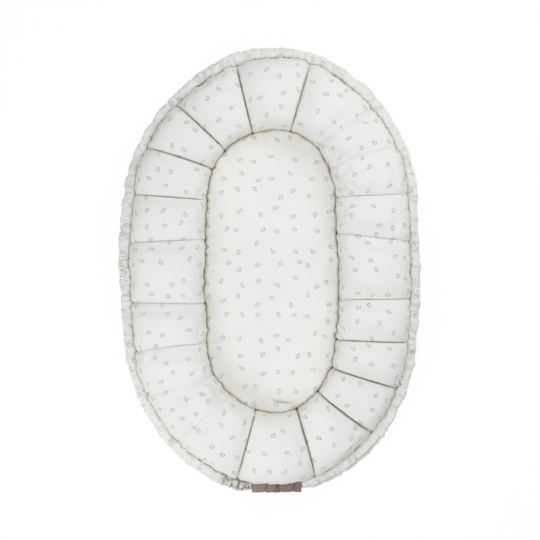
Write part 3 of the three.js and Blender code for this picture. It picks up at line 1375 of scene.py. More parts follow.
        flat = self.flat_place(start, chambers)
        grid = MappedGrid(self.columns * chambers, self.rows, place, Facing.TURNED, flat=flat, tint=tint)
        obj = grid.build(f"bolster_cloth_{name}")
        rested = self.swelling.run(obj, lambda across, t: self.hold(across, t, chambers))
        for vert, after, (across, _) in zip(obj.data.vertices, rested, shares(obj)):
            number, along = self.split(across, chambers)
            beside = self.spread(min(along, 1 - along))
            if beside > 0:
                settled = vert.co.lerp(after, self.settling * smooth(beside / self.settling_reach))
                vert.co = self.between_seams(start, number, settled)
        self.crumple(obj, start, chambers)
        give_thickness(obj, self.cloth)
        stage_piece(obj, Body.NEST, self.finishes.printed)
        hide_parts(f"quilt_{name}")

    def tint(self, start: int, chamber: tuple[int, float], t: float, point: Vector) -> tuple[float, float]:
        """Paint shade into the cloth's seams and edges, and a pale warm light beside them.

        Args:
            start: The seam where the cloth starts.
            chamber: The chamber's number in the run and the share along it.
            t: The share of the way round the skin.
            point: The place on the skin.

        Returns:
            The share of painted shade and the share of painted warm light.
        """
        number, along = chamber
        pull = self.pull_shares[(start + number + (1 if along > 0.5 else 0)) % PLAN.chambers]
        beside = min(along, 1 - along) * self.columns
        look = self.shade
        plan = Vector((point.x, point.y, 0))
        # Painted shade in the seams, darker where a seam is pulled deeper, with a faint halo beside it.
        uneven = look.seam_level + look.seam_change * ripple(plan, look.seam_patch, Pattern.SEAM_SHADE)
        halo = look.halo * max(1 - beside / look.halo_reach, 0.0)
        strength = look.seam_least + look.seam_by_pull * pull**look.pull_power
        sewn = max(1 - beside / look.seam_reach, halo) * strength * uneven
        off_rim = abs(t - self.flank_share)
        at_end = max(1 - off_rim / look.end_reach, smooth((t - look.end_start) / look.end_run))
        end_share = look.end_strength * max(1 - beside / look.end_columns, 0.0)
        sewn = max(sewn, end_share * max(at_end, 0.0))
        # Painted shade along the rim line and round the well, broken at random.
        broken = look.line_level + look.line_change * ripple(plan, look.line_patch, Pattern.LINE_BREAKS)
        broken = min(max(broken, look.line_least), 1.0)
        rim = max(1 - off_rim / look.rim_reach, 0.0) * broken
        side = PLAN.side_share(PLAN.seam(start + number, 0.5))
        at_well = look.well_at_ends + look.well_at_sides * side
        well = smooth((t - look.well_start) / look.well_run) * at_well * broken
        # A pale warm tint painted as light along the rim, round the well and beside the seams, in random
        # patches.
        patch = 0.5 + 0.5 * ripple(point, look.cream_patch, Pattern.CREAM_PATCHES)
        cream = max(1 - off_rim / look.cream_rim_reach, 0.0) * look.cream_at_rim
        at_seam = look.cream_at_seam * pull * max(1 - beside / look.cream_seam_reach, 0.0)
        cream = max(cream, smooth((t - look.cream_well_start) / look.cream_well_run), at_seam)
        return min(max(sewn, rim, well), 1.0), cream * (look.cream_least + look.cream_change * patch)

    def crumple(self, obj: bpy.types.Object, start: int, chambers: int) -> None:
        """Draw small folds into the cloth beside its seams and along its two long edges.

        Args:
            obj: The cloth's object.
            start: The seam where the cloth starts.
            chambers: How many chambers it covers.
        """
        look = self.crumples
        normals = [vert.normal.copy() for vert in obj.data.vertices]
        for vert, normal, (across, t) in zip(obj.data.vertices, normals, shares(obj)):
            number, along = self.split(across, chambers)
            index = start + number + (1 if along > 0.5 else 0)
            pull = self.pull_shares[index % PLAN.chambers]
            beside = self.spread(min(along, 1 - along))
            near_seam = pull * math.exp(-beside / look.seam_reach) * min(beside / look.seam_start, 1.0)
            near_rim = math.exp(-abs(t - self.flank_share - look.rim_place) / look.edge_reach)
            near_well = math.exp(-abs(t - look.well_place) / look.edge_reach)
            size = look.height * (look.level + look.at_seam * near_seam + look.at_rim * near_rim + near_well)
            if 0.0 < beside and self.flank_share < t < look.ends_at:
                vert.co += normal * size * look.folds(vert.co)

    def filling(self, chamber: int) -> None:
        """Make one chamber's fibre filling, a loaf that stops short of the cloth.

        Args:
            chamber: The chamber's number.
        """

        def place(along: float, t: float) -> Vector:
            """Place one corner of the loaf.

            Args:
                along: The share of the way to the next seam.
                t: The share of the way round the loaf.

            Returns:
                The point.
            """
            t = t % 1.0
            inner = self.filling_start + self.filling_run * along
            point = self.point(chamber, inner, min(t / self.filling_crown, 1.0), self.filling_inset)
            if t > self.filling_crown:
                foot = self.point(chamber, inner, 0.0, self.filling_inset)
                well = self.point(chamber, inner, 1.0, self.filling_inset)
                point = well.lerp(foot, (t - self.filling_crown) / self.filling_floor)
            tuft = ripple(point, self.tuft_size, chamber) * self.tuft_height
            return point + Vector((0, 0, tuft if point.z > self.tufts_above else 0.0))

        grid = MappedGrid(*self.filling_grid, place, Facing.TURNED, closed_rows=True)
        obj = grid.build(f"chamber_filling_{chamber + 1:02d}")
        bm = bmesh.new()
        bm.from_mesh(obj.data)
        bmesh.ops.holes_fill(bm, edges=bm.edges)
        bmesh.ops.triangulate(bm, faces=[face for face in bm.faces if len(face.verts) > 4])
        bmesh.ops.recalc_face_normals(bm, faces=bm.faces)
        bm.to_mesh(obj.data)
        bm.free()
        stage_piece(obj, Body.NEST, self.finishes.fibre)
        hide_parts(f"fill_{chamber + 1:02d}")

    def build(self) -> None:
        """Make every cloth and filling."""
        for name, start, chambers in self.runs:
            self.quilt(name, start, chambers)
        for chamber in range(PLAN.chambers):
            self.filling(chamber)


def out_of(place: Vector) -> float:
    """Measure how far a point lies out of the well's edge.

    Args:
        place: The point.

    Returns:
        The distance, which is below 0 inside the well.
    """
    half = PLAN.well_straight / 2
    past = max(abs(place.y) - half, 0.0)
    return math.hypot(place.x, past) - PLAN.well_radius


@dataclass(frozen=True)
class GatherLook:
    """How deep the casing's gathers are, how dark they are painted as shade, and where a pale warm tint is
    painted: as light beside its seam, and in random patches.

    A reach is a share of the way round the casing.
    """

    fold_level: float = 0.65
    fold_if_dense: float = 0.5
    fold_width: float = 0.7
    small_fold_width: float = 0.9
    small_fold_lead: float = 1.3
    patch_size: float = 0.045
    patch_change: float = 0.6
    dark_in_patch: float = 0.24
    dark_if_dense: float = 0.6
    wider_if_dense: float = 0.4
    small_dark: float = 0.04
    small_dark_if_dense: float = 0.4
    speckle: float = 0.5
    hem_dark: float = 0.7
    hem_dark_in_patch: float = 0.3
    seam_break_size: float = 0.008
    seam_level: float = 0.62
    seam_change: float = 0.9
    seam_least: float = 0.08
    seam_reach: float = 0.112
    seam_fade: float = 0.04
    cream_size: float = 0.02
    cream_turn: float = 0.07
    cream_in_patch: float = 0.12
    cream_at_seam: float = 0.6
    cream_reach: float = 0.17
    less_cream_if_dark: float = 0.5
    less_cream_if_dense: float = 0.6


@dataclass
class Rim:
    """The gathered casing round the nest, with its elastic, and the brown tab over its mouths."""

    finishes: Finishes
    height: float = 0.0105
    sides: int = 30
    step: float = 0.0020
    wall: float = 0.0010
    fold_spacing: float = 0.013
    fold_depth: float = 0.0034
    small_fold_spacing: float = 0.0065
    small_fold_depth: float = 0.0020
    speckle_size: float = 0.0042
    lump_spacing: float = 0.019
    lump_height: float = 0.0015
    hem_run: float = 0.210
    hem_place: float = 0.3333
    hem_width: float = 0.019
    top_share: float = 0.7
    fullness: float = 3.3
    hem_depth: float = 0.0018
    gathered_run: float = 0.078
    mouth_run: float = 0.018
    tab_length: float = 0.097
    tab_overlap: float = 0.009
    tab_thickness: float = 0.0016
    tab_radius: float = 0.0122
    tab_wrap: float = math.radians(111)
    casing_cut: tuple[float, float] = (0.076, 2.50)
    tab_cut: tuple[float, float] = (0.097, 0.050)
    tab_grid: tuple[int, int] = (96, 32)
    tab_outwards: float = 0.0006
    tab_straight: float = 0.55
    tab_more_straight: float = 0.35
    tab_dent: float = 0.0006
    tab_dent_size: float = 0.012
    tab_turn_spacing: float = 0.004
    length_ratio: float = 2.05
    flat_ratio: float = 1.2
    freedom: float = 0.9
    turn_spacing: float = 0.42
    sway: float = 0.006
    sway_size: float = 0.03
    crowding: float = 0.62
    crowded_share: float = 0.7
    crowding_fade: float = 0.3
    mouth_folds: float = 0.3
    more_folds: float = 0.7
    mouth_sharpness: float = 300.0
    hem_fade_run: float = 0.05
    pucker_width: float = 0.0020
    pucker_depth: float = 0.0026
    pucker_places: tuple[tuple[float, float], ...] = (
        (-0.0235, 0.0050), (-0.0097, 0.0146), (0.0088, -0.0085), (0.0310, 0.0040),
    )
    # Painted shade at the tab's two hems: how dark, and how far in.
    hem_shade: float = 0.5
    hem_share: float = 0.02
    worn_strength: float = 0.42
    worn_run: float = 0.75
    look: GatherLook = field(default_factory=GatherLook)

    @property
    def start(self) -> float:
        """The distance walked to the casing's first mouth, under the tab."""
        return PLAN.tab_middle + PLAN.rim_walk(self.tab_length / 2 - self.tab_overlap)

    @property
    def run(self) -> float:
        """The distance walked from one mouth right round to the other."""
        return PLAN.perimeter - 2 * (self.start - PLAN.tab_middle)

    def lengths(self, columns: int) -> list[float]:
        """Measure the casing's own length up to each of its columns.

        Args:
            columns: How many columns the casing has.

        Returns:
            The lengths in metres, from 0 at the first mouth.
        """
        total = [0.0]
        for column in range(columns):
            walked = self.start + self.run * (column + 0.5) / columns
            stretch = PLAN.stretch(walked, PLAN.width(walked) + self.height)
            total.append(total[-1] + self.run / columns * stretch)
        return total

    def dense(self, length: float) -> float:
        """How much closer the gathers are: 1 beside the casing's first mouth and 0 past it."""
        start = self.gathered_run * self.crowded_share
        return 1 - smooth((length - start) / (self.gathered_run * self.crowding_fade))

    def folds(self, length: float, angle: float, to_end: float) -> tuple[float, float]:
        """The gathers of the casing, and the line of its hem near its last mouth.

        Args:
            length: The length along the casing from its first mouth.
            angle: The angle round it, from its inner side over its top.
            to_end: The length that is left to its last mouth.

        Returns:
            How far the cloth stands out, and its share of painted shade in the gathers, speckles and hem.
        """
        look = self.look
        dense = self.dense(length)
        place = Vector((length, self.fold_spacing * self.turn_spacing * angle, 0))
        sway = Vector((self.sway * ripple(place, self.sway_size, Pattern.GATHER_SWAY), 0, 0))
        spacing = self.fold_spacing * (1 - self.crowding * dense)
        deep = crease_line(place + sway, spacing, Pattern.GATHERS, look.fold_width)
        small_place = place * look.small_fold_lead + sway
        small = crease_line(
            small_place, self.small_fold_spacing, Pattern.SMALL_GATHERS, look.small_fold_width
        )
        lump = ripple(place, self.lump_spacing, Pattern.CASING_LUMPS)
        patch = smooth(0.5 + look.patch_change * ripple(place, look.patch_size, Pattern.CASING_SHADE))
        off_hem = (angle / math.tau - self.hem_place) / self.hem_width
        hem = smooth((self.hem_run - to_end) / self.hem_fade_run) * math.exp(-(off_hem**2))
        fold = self.fold_depth * (look.fold_level + look.fold_if_dense * dense)
        out = self.lump_height * lump - fold * deep
        out -= self.small_fold_depth * small + self.hem_depth * hem
        # Painted shade: dark in the gathers, more where they crowd by the mouth, in speckles there and along
        # the hem.
        dark = look.dark_in_patch * patch + look.dark_if_dense * dense
        small_dark = look.small_dark + look.small_dark_if_dense * dense
        shade = dark * deep ** (1 - look.wider_if_dense * dense) + small_dark * small
        speckle = max(ripple(place, self.speckle_size, Pattern.CASING_SPECKLES), 0.0)
        shade += look.speckle * dense * speckle
        return out, min(max(shade, hem * (look.hem_dark + look.hem_dark_in_patch * patch)), 1.0)

    def casing_point(self, walked: float, angle: float, out: float) -> Vector:
        """A point of the casing's skin.

        Args:
            walked: The distance walked.
            angle: The angle round the casing, from its inner side over its top.
            out: How far the cloth stands out there.

        Returns:
            The point.
        """
        inner = PLAN.rim(walked) + PLAN.seat_gap
        past_tab = abs(walked % PLAN.perimeter - PLAN.tab_middle) - self.start + PLAN.tab_middle
        under_tab = PLAN.width(walked) + PLAN.seat_gap + PLAN.casing_width
        outer = under_tab + (PLAN.outline(walked) - under_tab) * smooth(past_tab / self.mouth_run)
        half = (outer - inner) / 2
        free = smooth((1 - math.cos(angle)) * self.freedom)
        turns = (math.cos(angle), math.sin(angle))
        cosine, sine = (math.copysign(abs(turn) ** (2 / self.fullness), turn) for turn in turns)
        across = (half + out * free) * cosine
        return PLAN.place(walked, inner + half - across, PLAN.belt + (self.height + out * free) * sine)

    def around(self, share: float) -> float:
        """Set the casing's rows closer together on its top, which shows most.

        Args:
            share: The row's share of all the rows.

        Returns:
            The share of the way round the casing where it lies.
        """
        share = share % 1.0
        if share < self.top_share:
            return 0.5 * share / self.top_share
        return 0.5 + 0.5 * (share - self.top_share) / (1 - self.top_share)

    def casing(self) -> None:
        """Make the casing: a tube of cloth drawn into uneven gathers."""
        columns = round(self.run * self.length_ratio / self.step)
        lengths = self.lengths(columns)
        look = self.look

        def folded(along: float, share: float) -> tuple[float, float]:
            """Fold the cloth at one corner, and less at the two mouths.

            Args:
                along: The share of the way along the casing.
                share: The share of the rows round it.

            Returns:
                How far the cloth stands out, and its share of painted shade in the gathers, speckles and
                hem.
            """
            fade = smooth(min(along, 1 - along) * self.mouth_sharpness)
            length = lengths[round(along * columns)]
            out, deep = self.folds(length, math.tau * self.around(share), lengths[-1] - length)
            return out * (self.mouth_folds + self.more_folds * fade), deep

        def place(along: float, share: float) -> Vector:
            """Place one corner of the casing."""
            angle = math.tau * self.around(share)
            return self.casing_point(self.start + self.run * along, angle, folded(along, share)[0])

        def flat(along: float, share: float) -> tuple[float, float]:
            """Place one corner on the flat cloth."""
            around = self.around(share) if share < 1 else 1.0
            return lengths[round(along * columns)], math.tau * self.height * self.flat_ratio * around

        def tint(along: float, share: float) -> tuple[float, float]:
            """Paint shade and light onto one corner: painted shade in the gathers and in the seam, and a
            pale warm tint painted beside the seam as light and in random patches.

            Args:
                along: The share of the way along the casing.
                share: The share of the rows round it.

            Returns:
                The share of painted shade and the share of painted warm light.
            """
            length = lengths[round(along * columns)]
            around = self.around(share)
            near = min(around, 1 - around)
            # Painted shade along the seam against the chambers, broken at random.
            breaks = ripple(Vector((length, 0, 0)), look.seam_break_size, Pattern.CASING_BREAKS)
            broken = min(max(look.seam_level + look.seam_change * breaks, look.seam_least), 1.0)
            sewn = min(max((look.seam_reach - near) / look.seam_fade, 0.0), 1.0) * broken
            # Painted warm light beside that seam, less where the seam is painted darkest and by the mouth,
            # with random patches of the same tint.
            spot = Vector((length, look.cream_turn * around, 0))
            patch = 0.5 + 0.5 * ripple(spot, look.cream_size, Pattern.CASING_CREAM)
            at_seam = look.cream_at_seam * max(1 - near / look.cream_reach, 0.0)
            cream = look.cream_in_patch * patch + at_seam * (1 - look.less_cream_if_dark * broken)
            cream *= 1 - look.less_cream_if_dense * self.dense(length)
            return max(sewn, folded(along, share)[1]), cream

        grid = MappedGrid(
            columns, self.sides, place, Facing.TURNED, closed_rows=True, flat=flat, tint=tint
        )
        obj = grid.build("gathered_casing")
        give_thickness(obj, self.wall, 0)
        stage_piece(obj, Body.NEST, self.finishes.printed)
        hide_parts("rim_casing")

    def pucker(self, x: float, around: float) -> float:
        """How deep the tab's slanting puckers are at a place.

        Args:
            x: The distance along the tab from its middle.
            around: The share of the way round the casing.

        Returns:
            1 in a pucker and 0 away from them.
        """
        depth = 0.0
        for middle, lean in self.pucker_places:
            line = middle + lean * (around - 0.5) * 2
            depth += math.exp(-(((x - line) / self.pucker_width) ** 2))
        return min(depth, 1.0)

    def tab(self) -> None:
        """Make the tab: a brown cloth folded over the casing's mouths, with slanting puckers."""
        out = PLAN.width(PLAN.tab_middle) + PLAN.casing_width / 2
        centre = PLAN.place(PLAN.tab_middle, out, PLAN.belt)

        def place(along: float, around: float) -> Vector:
            """Place one corner of the tab.

            Args:
                along: The share of the way along the tab.
                around: The share of the way round the casing.

            Returns:
                The point.
            """
            x = (along - 0.5) * self.tab_length
            angle = self.tab_wrap * (2 * around - 1)
            walked = PLAN.tab_middle - PLAN.rim_walk(x)
            axis = PLAN.place(walked, PLAN.width(walked) + PLAN.casing_width / 2, PLAN.belt)
            straight = Vector((axis.x, centre.y - self.tab_outwards, axis.z))
            free = 0.5 * (1 + math.cos(angle))
            middle = axis.lerp(straight, self.tab_straight + self.tab_more_straight * free)
            grow = self.tab_radius - self.pucker_depth * self.pucker(x, around)
            spot = Vector((x, angle * self.tab_turn_spacing, 0))
            grow += self.tab_dent * ripple(spot, self.tab_dent_size, Pattern.TAB_DENTS)
            return middle + Vector((0, -math.cos(angle) * grow, math.sin(angle) * grow))

        def flat(along: float, around: float) -> tuple[float, float]:
            """Place one corner on the flat cloth."""
            return along * self.tab_length, around * 2 * self.tab_wrap * self.tab_radius

        def tint(along: float, around: float) -> tuple[float, float]:
            """Paint shade into one corner's puckers and hems, and make the worn end pale.

            Args:
                along: The share of the way along the tab.
                around: The share of the way round the casing.

            Returns:
                The share of painted shade and the share of the worn colour.
            """
            # Painted shade at the two hems and in the puckers; the worn end is paler.
            hem = max(1 - min(along, 1 - along) / self.hem_share, 0.0) * self.hem_shade
            worn = self.worn_strength * (1 - smooth(along / self.worn_run))
            return max(self.pucker((along - 0.5) * self.tab_length, around), hem), worn

        obj = MappedGrid(*self.tab_grid, place, flat=flat, tint=tint).build("foot_tab_cloth")
        give_thickness(obj, self.tab_thickness, 1)
        obj.modifiers["cloth thickness"].offset = 1.0
        stage_piece(obj, Body.NEST, self.finishes.twill)
        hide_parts("foot_tab")

    def build(self) -> None:
        """Make the casing and the tab, and dress the elastic."""
        self.casing()
        self.tab()
        dress_node("rim_elastic", self.finishes.elastic)


def dress_node(name: str, material: bpy.types.Material) -> None:
    """Give a solid that stays as it is its material."""
    for slot in bpy.data.objects[name].material_slots:
        slot.material = material


@dataclass
class Base:
    """The nest's floor: the underside cloth, the wadding and the lining under the mattress."""

    finishes: Finishes
    cloth: float = 0.0016
    lining_top: float = 0.0189
    lining_thickness: float = 0.0012
    lining_share: float = 0.6
    thinner: float = 0.0006
    lift: float = 0.0001
    pucker_depth: float = 0.0003
    pucker_size: float = 0.02
    pucker_start: float = 0.8
    pucker_run: float = 0.2
    hollow_depth: float = 0.0006
    hollow_size: float = 0.05
    lining_drop: float = 0.0003
    underside_grid: tuple[int, int] = (240, 24)
    lining_grid: tuple[int, int] = (200, 30)
    underside_cut: tuple[float, float] = (0.470, 0.750)
    lining_cut: tuple[float, float] = (0.2554, 0.5454)

    def underside(self) -> None:
        """Make the underside cloth, flat on the floor with small puckers near its edge."""

        def place(across: float, along: float) -> Vector:
            """Place one corner of the underside.

            Args:
                across: The share of the way round the well.
                along: The share of the way out from its middle.

            Returns:
                The point.
            """
            walked = PLAN.perimeter * across
            edge = PLAN.width(walked) - PLAN.flank_run
            out = -PLAN.well_radius + (edge + PLAN.well_radius) * along
            point = PLAN.place(walked, out, self.cloth)
            waves = ripple(point, self.pucker_size, Pattern.UNDERSIDE_PUCKERS)
            pucker = (0.5 + 0.5 * waves) * smooth((along - self.pucker_start) / self.pucker_run)
            return point - Vector((0, 0, self.lift + self.pucker_depth * pucker))

        grid = MappedGrid(*self.underside_grid, place, closed_columns=True)
        obj = grid.build("underside_cloth_piece")
        lay_flat_map(obj)
        give_thickness(obj, self.cloth - self.thinner, 0)
        stage_piece(obj, Body.NEST, self.finishes.plain)
        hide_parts("underside_cloth")

    def lining(self) -> None:
        """Make the lining over the wadding, with soft hollows."""

        def place(across: float, along: float) -> Vector:
            """Place one corner of the lining.

            Args:
                across: The share of the way round the well.
                along: The share of the way out from its middle.

            Returns:
                The point.
            """
            walked = PLAN.perimeter * across
            edge = PLAN.well_line(walked) - PLAN.seat_gap
            out = -PLAN.well_radius + (PLAN.well_radius + edge) * along
            point = PLAN.place(walked, out, self.lining_top)
            hollow = ripple(point, self.hollow_size, Pattern.LINING_HOLLOWS) * self.hollow_depth
            return point + Vector((0, 0, hollow * (1 - along) - self.lining_drop))

        grid = MappedGrid(*self.lining_grid, place, closed_columns=True)
        obj = grid.build("well_lining_cloth")
        lay_flat_map(obj)
        give_thickness(obj, self.lining_thickness * self.lining_share, 0)
        stage_piece(obj, Body.NEST, self.finishes.plain)
        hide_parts("well_lining")

    def build(self) -> None:
        """Make the floor's pieces and dress the wadding."""
        self.underside()
        self.lining()
        dress_node("well_wadding", self.finishes.fibre)


def lay_flat_map(obj: bpy.types.Object) -> None:
    """Lay a nearly flat cloth's map from its plan.

    Args:
        obj: The cloth's object.
    """
    layer = obj.data.uv_layers[CLOTH_MAP]
    for loop in obj.data.loops:
        place = obj.data.vertices[loop.vertex_index].co
        layer.data[loop.index].uv = (place.x, place.y)


@dataclass
class Mattress:
    """The loose mattress: a printed, crowned top cloth and a plain base cloth round a foam."""

    finishes: Finishes
    radius: float = 0.1276
    base_cut: tuple[float, float] = (0.2492, 0.5392)
    foam_inset: float = 0.0024
    foam_drop: float = 0.0058
    foam_turn: float = 0.3
    bottom: float = 0.0207
    base_bottom: float = 0.0192
    shoulder: float = 0.0424
    edge_round: float = 0.007
    edge_tuck: float = 0.003
    rise: float = 0.0045
    cloth: float = 0.0012
    clearance: float = 0.0004
    edge_pucker: float = 0.0014
    edge_wobble: float = 0.0012
    edge_wobble_size: float = 0.013
    fold_start: tuple[float, float] = (0.000, -0.2535)
    fold_end: tuple[float, float] = (0.042, -0.2600)
    fold_depth: float = 0.0052
    fold_width: float = 0.0034
    wall_share: float = 0.12
    turn_share: float = 0.26
    hollow_depth: float = 0.0012
    hollow_size: float = 0.07
    dent_depth: float = 0.0006
    dent_size: float = 0.03
    puff: float = 0.0012
    pucker_place: float = 0.3
    pucker_reach: float = 0.1
    pucker_size: float = 0.011
    at_ends: float = 0.35
    at_sides: float = 0.65
    foot_share: float = 0.1
    top_start: float = 0.16
    top_run: float = 0.2
    # Painted shade low on the top cloth's sides and in its fold, with painted warm light on the sides.
    shade_run: float = 0.2
    shade_strength: float = 0.55
    less_cream: float = 0.7
    fold_at_start: float = 0.15
    fold_run: float = 0.7
    shade_size: float = 0.014
    base_dent: float = 0.0002
    base_dent_size: float = 0.04
    pore_depth: float = 0.0002
    pore_size: float = 0.004
    top_share: float = 0.8
    base_share: float = 0.6
    top_grid: tuple[int, int] = (400, 90)
    base_grid: tuple[int, int] = (200, 24)
    foam_grid: tuple[int, int] = (200, 60)

    def outline(self, share: float) -> tuple[float, float]:
        """The top cloth's section, from its bottom edge to the pad's middle.

        Args:
            share: The share of the way in.

        Returns:
            The radius about the straight middle of the well, and the height.
        """
        wall, turn = self.wall_share, self.turn_share
        if share < wall:
            up = share / wall
            side = self.shoulder - self.edge_round - self.bottom
            return self.radius - self.edge_tuck * (1 - smooth(up)), self.bottom + side * up
        if share < turn:
            angle = math.pi / 2 * (share - wall) / (turn - wall)
            return (
                self.radius - self.edge_round * (1 - math.cos(angle)),
                self.shoulder - self.edge_round * (1 - math.sin(angle)),
            )
        inwards = (share - turn) / (1 - turn)
        edge = self.radius - self.edge_round
        return edge * (1 - inwards), self.shoulder + self.rise * (1 - (1 - inwards) ** 2)

    def top(self) -> None:
        """Make the top cloth, with soft hollows and a fold at the foot."""

        def place(across: float, along: float) -> Vector:
            """Place one corner of the top cloth.

            Args:
                across: The share of the way round the well.
                along: The share of the way in from the edge.

            Returns:
                The point.
            """
            walked = PLAN.perimeter * across
            radius, up = self.outline(along)
            edge_place = PLAN.edge(walked).place.to_3d()
            uneven = 0.5 + 0.5 * ripple(edge_place, self.edge_wobble_size, Pattern.TOP_EDGE)
            side = self.at_ends + self.at_sides * PLAN.side_share(walked)
            above_foot = smooth(along / self.foot_share)
            uneven *= self.edge_wobble * side * above_foot
            uneven -= PLAN.well_line(walked) * above_foot
            radius = max(radius - uneven * min(radius / self.radius, 1.0), 0.0)
            point = PLAN.place(walked, radius - PLAN.well_radius, up)
            top = smooth((along - self.top_start) / self.top_run)
            hollows = self.hollow_depth * ripple(point, self.hollow_size, Pattern.TOP_HOLLOWS)
            soft = hollows + self.dent_depth * ripple(point, self.dent_size, Pattern.TOP_DENTS)
            edge = math.exp(-(((along - self.pucker_place) / self.pucker_reach) ** 2))
            pucker = self.edge_pucker * ripple(edge_place, self.pucker_size, Pattern.TOP_PUCKERS) * edge
            rise = top * (soft + self.puff + pucker)
            return point + Vector((0, 0, rise - self.fold_depth * self.fold(point)))

        def tint(across: float, along: float) -> tuple[float, float]:
            """Paint shade and light onto one corner: painted shade low on the sides in patches and in the
            fold, and a pale warm light painted on the sides between the patches.

            Args:
                across: The share of the way round the well.
                along: The share of the way in from the edge.

            Returns:
                The share of painted shade and the share of painted warm light.
            """
            point = place(across, along)
            # Painted shade low on the sides in random patches and in the fold, and painted warm light on the
            # sides between the patches.
            patch = 0.5 + 0.5 * ripple(point, self.shade_size, Pattern.TOP_SHADE)
            side = 1 - smooth(along / self.shade_run)
            in_fold = self.shade_strength * self.fold(point) ** 2
            return max(self.shade_strength * side * patch, in_fold), (1.0 - self.less_cream * patch) * side

        grid = MappedGrid(*self.top_grid, place, closed_columns=True, tint=tint)
        obj = grid.build("mattress_top")
        lay_flat_map(obj)
        for vert in obj.data.vertices:
            vert.co = self.kept_in(vert.co)
        give_thickness(obj, self.cloth * self.top_share, 0)
        stage_piece(obj, Body.MATTRESS, self.finishes.printed)
        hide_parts("mattress_top_cloth")

    def fold(self, point: Vector) -> float:
        """Measure the fold at the foot of the mattress.

        Args:
            point: The place on the cloth.

        Returns:
            1 in the fold's depth and 0 away from it.
        """
        start, end = Vector(self.fold_start), Vector(self.fold_end)
        line = end - start
        share = min(max((point.xy - start).dot(line) / line.length_squared, 0.0), 1.0)
        off = (point.xy - start - line * share).length
        depth = math.sin(math.pi * (self.fold_at_start + self.fold_run * share))
        return math.exp(-((off / self.fold_width) ** 2)) * depth

    def kept_in(self, place: Vector) -> Vector:
        """Keep a point clear of the chambers round the mattress.

        Args:
            place: The point.

        Returns:
            The point where it may stand.
        """
        over = out_of(place) + self.clearance - PLAN.well_line(PLAN.walked_at(place))
        if over <= 0:
            return place
        inward = (PLAN.middle(place) - place.xy).normalized() * over
        return Vector((place.x + inward.x, place.y + inward.y, place.z))

    def base(self) -> None:
        """Make the plain base cloth."""

        def place(across: float, along: float) -> Vector:
            """Place one corner of the base cloth.

            Args:
                across: The share of the way round the well.
                along: The share of the way out from its middle.

            Returns:
                The point.
            """
            walked = PLAN.perimeter * across
            radius = (self.radius - self.edge_tuck) * along
            point = PLAN.place(walked, radius - PLAN.well_radius, self.base_bottom + self.cloth)
            dents = abs(ripple(point, self.base_dent_size, Pattern.BASE_DENTS))
            return point - Vector((0, 0, self.base_dent + self.base_dent * dents))

        grid = MappedGrid(*self.base_grid, place, closed_columns=True)
        obj = grid.build("mattress_base")
        lay_flat_map(obj)
        give_thickness(obj, self.cloth * self.base_share, 0)
        stage_piece(obj, Body.MATTRESS, self.finishes.plain)
        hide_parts("mattress_base_cloth")

    def foam(self) -> None:
        """Make the foam, a block that follows the top cloth's form a little way inside it."""

        def place(across: float, along: float) -> Vector:
            """Place one corner of the foam.

            Args:
                across: The share of the way round the well.
                along: The share of the way from top to bottom.

            Returns:
                The point.
            """
            walked = PLAN.perimeter * across
            turned = (1 - along) / self.foam_turn
            if along > 1 - self.foam_turn:
                radius, up = self.outline(0.0)[0] * turned, self.bottom
            else:
                radius, up = self.outline(1 - along / (1 - self.foam_turn))
            radius *= 1 + (PLAN.well_line(walked) - self.foam_inset - self.edge_wobble) / self.radius
            spot = Vector((radius * 3, walked, up))
            pores = self.pore_depth * ripple(spot, self.pore_size, Pattern.FOAM_PORES)
            height = max(up - self.foam_drop, self.bottom) + pores
            return PLAN.place(walked, radius - PLAN.well_radius, height)

        grid = MappedGrid(*self.foam_grid, place, Facing.TURNED, closed_columns=True)
        obj = grid.build("mattress_foam_block")
        lay_flat_map(obj)
        stage_piece(obj, Body.MATTRESS, self.finishes.foam)
        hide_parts("mattress_foam")

    def build(self) -> None:
        """Make the two cloths and the foam between them."""
        self.top()
        self.base()
        self.foam()


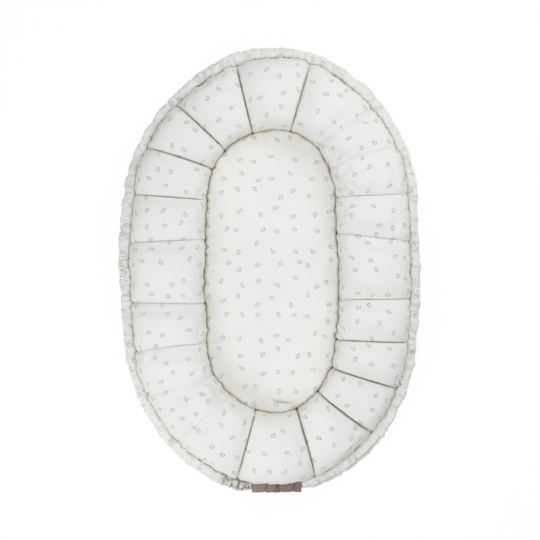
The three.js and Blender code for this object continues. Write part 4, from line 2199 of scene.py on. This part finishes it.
@dataclass
class Studio:
    """The white floor, the soft lights and the camera straight above."""

    camera_height: float = 3.2
    camera_aside: tuple[float, float] = (-0.0019, 0.0010)
    picture_plane: float = 0.06
    frame_width: float = 1.0476
    sensor: float = 36.0
    world_strength: float = 0.36
    corner_power: float = 7.8
    corner_size: float = 0.9
    corner_places: tuple[tuple[float, float, float], ...] = ((0.85, 1.1, 1.05), (-0.85, -1.1, 1.05))
    overhead_power: float = 38.0
    overhead_size: float = 1.8
    overhead_place: tuple[float, float, float] = (0.0, 0.0, 3.6)
    floor_size: float = 4.0
    floor_glow: float = 1.02
    floor_glow_share: float = 0.9
    floor_colour: Colour = (0.9, 0.9, 0.9, 1.0)
    white: Colour = (1.0, 1.0, 1.0, 1.0)

    def floor(self) -> None:
        """Lay the floor, which shows as white but keeps the nest's soft shadow."""
        bm = bmesh.new()
        bmesh.ops.create_grid(bm, x_segments=1, y_segments=1, size=self.floor_size)
        obj = as_object(bm, "studio_floor")
        bench = MaterialBench("studio floor")
        material = bench.surface(Base_Color=self.floor_colour, Roughness=1.0)
        glow = bench.add("ShaderNodeEmission", {"Color": self.white, "Strength": self.floor_glow})
        glow_share = bench.math("MULTIPLY", bench.seen_plainly(), self.floor_glow_share)
        mix = bench.add("ShaderNodeMixShader", {0: glow_share})
        bench.fill(mix.inputs[1], bench.shader.outputs[0])
        bench.fill(mix.inputs[2], glow.outputs[0])
        bench.fill(bench.tree.nodes["Material Output"].inputs[0], mix.outputs[0])
        obj.data.materials.append(material)

    def lights(self) -> None:
        """Set the white surroundings and a soft lamp at two opposite corners."""
        scene = bpy.context.scene
        scene.world = bpy.data.worlds.new("studio")
        scene.world.use_nodes = True
        self.surroundings(scene.world.node_tree)
        self.lamp("overhead", self.overhead_place, self.overhead_size, self.overhead_power)
        for number, place in enumerate(self.corner_places):
            self.lamp(f"corner_{number}", place, self.corner_size, self.corner_power)

    def surroundings(self, tree: bpy.types.NodeTree) -> None:
        """Light the nest softly from all round, and show plain white beyond the floor.

        Args:
            tree: The world's nodes.
        """
        background = tree.nodes["Background"]
        background.inputs["Color"].default_value = self.white
        bench = NodeBench(tree)
        extra = 1 - self.world_strength
        strength = bench.math("MULTIPLY_ADD", bench.seen_plainly(), extra, self.world_strength)
        bench.fill(background.inputs["Strength"], strength)

    def lamp(self, name: str, place: tuple[float, float, float], size: float, power: float) -> None:
        """Hang one soft square lamp that faces the nest.

        Args:
            name: The lamp's name.
            place: Where it hangs.
            size: Its side in metres.
            power: Its power in watts.
        """
        lamp = bpy.data.lights.new(name, "AREA")
        lamp.shape = "SQUARE"
        lamp.size = size
        lamp.energy = power
        obj = bpy.data.objects.new(name, lamp)
        obj.location = place
        obj.rotation_euler = (-Vector(place)).to_track_quat("-Z", "Y").to_euler()
        bpy.context.scene.collection.objects.link(obj)

    def camera(self) -> None:
        """Hang the camera straight above the nest."""
        lens = bpy.data.cameras.new("camera")
        lens.sensor_width = self.sensor
        lens.lens = self.sensor * (self.camera_height - self.picture_plane) / self.frame_width
        obj = bpy.data.objects.new("camera", lens)
        obj.location = (*self.camera_aside, self.camera_height)
        bpy.context.scene.collection.objects.link(obj)
        bpy.context.scene.camera = obj

    def build(self) -> None:
        """Set up the floor, the lights and the camera."""
        self.floor()
        self.lights()
        self.camera()
        bpy.context.scene.view_settings.view_transform = "Standard"


def main() -> None:
    """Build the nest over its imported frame."""
    logging.basicConfig(level=logging.INFO, format="%(asctime)s %(name)s: %(message)s")
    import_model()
    Studio().build()
    finishes = Finishes()
    Base(finishes).build()
    Bolster(finishes).build()
    Rim(finishes).build()
    Mattress(finishes).build()


if __name__ == "__main__":
    main()
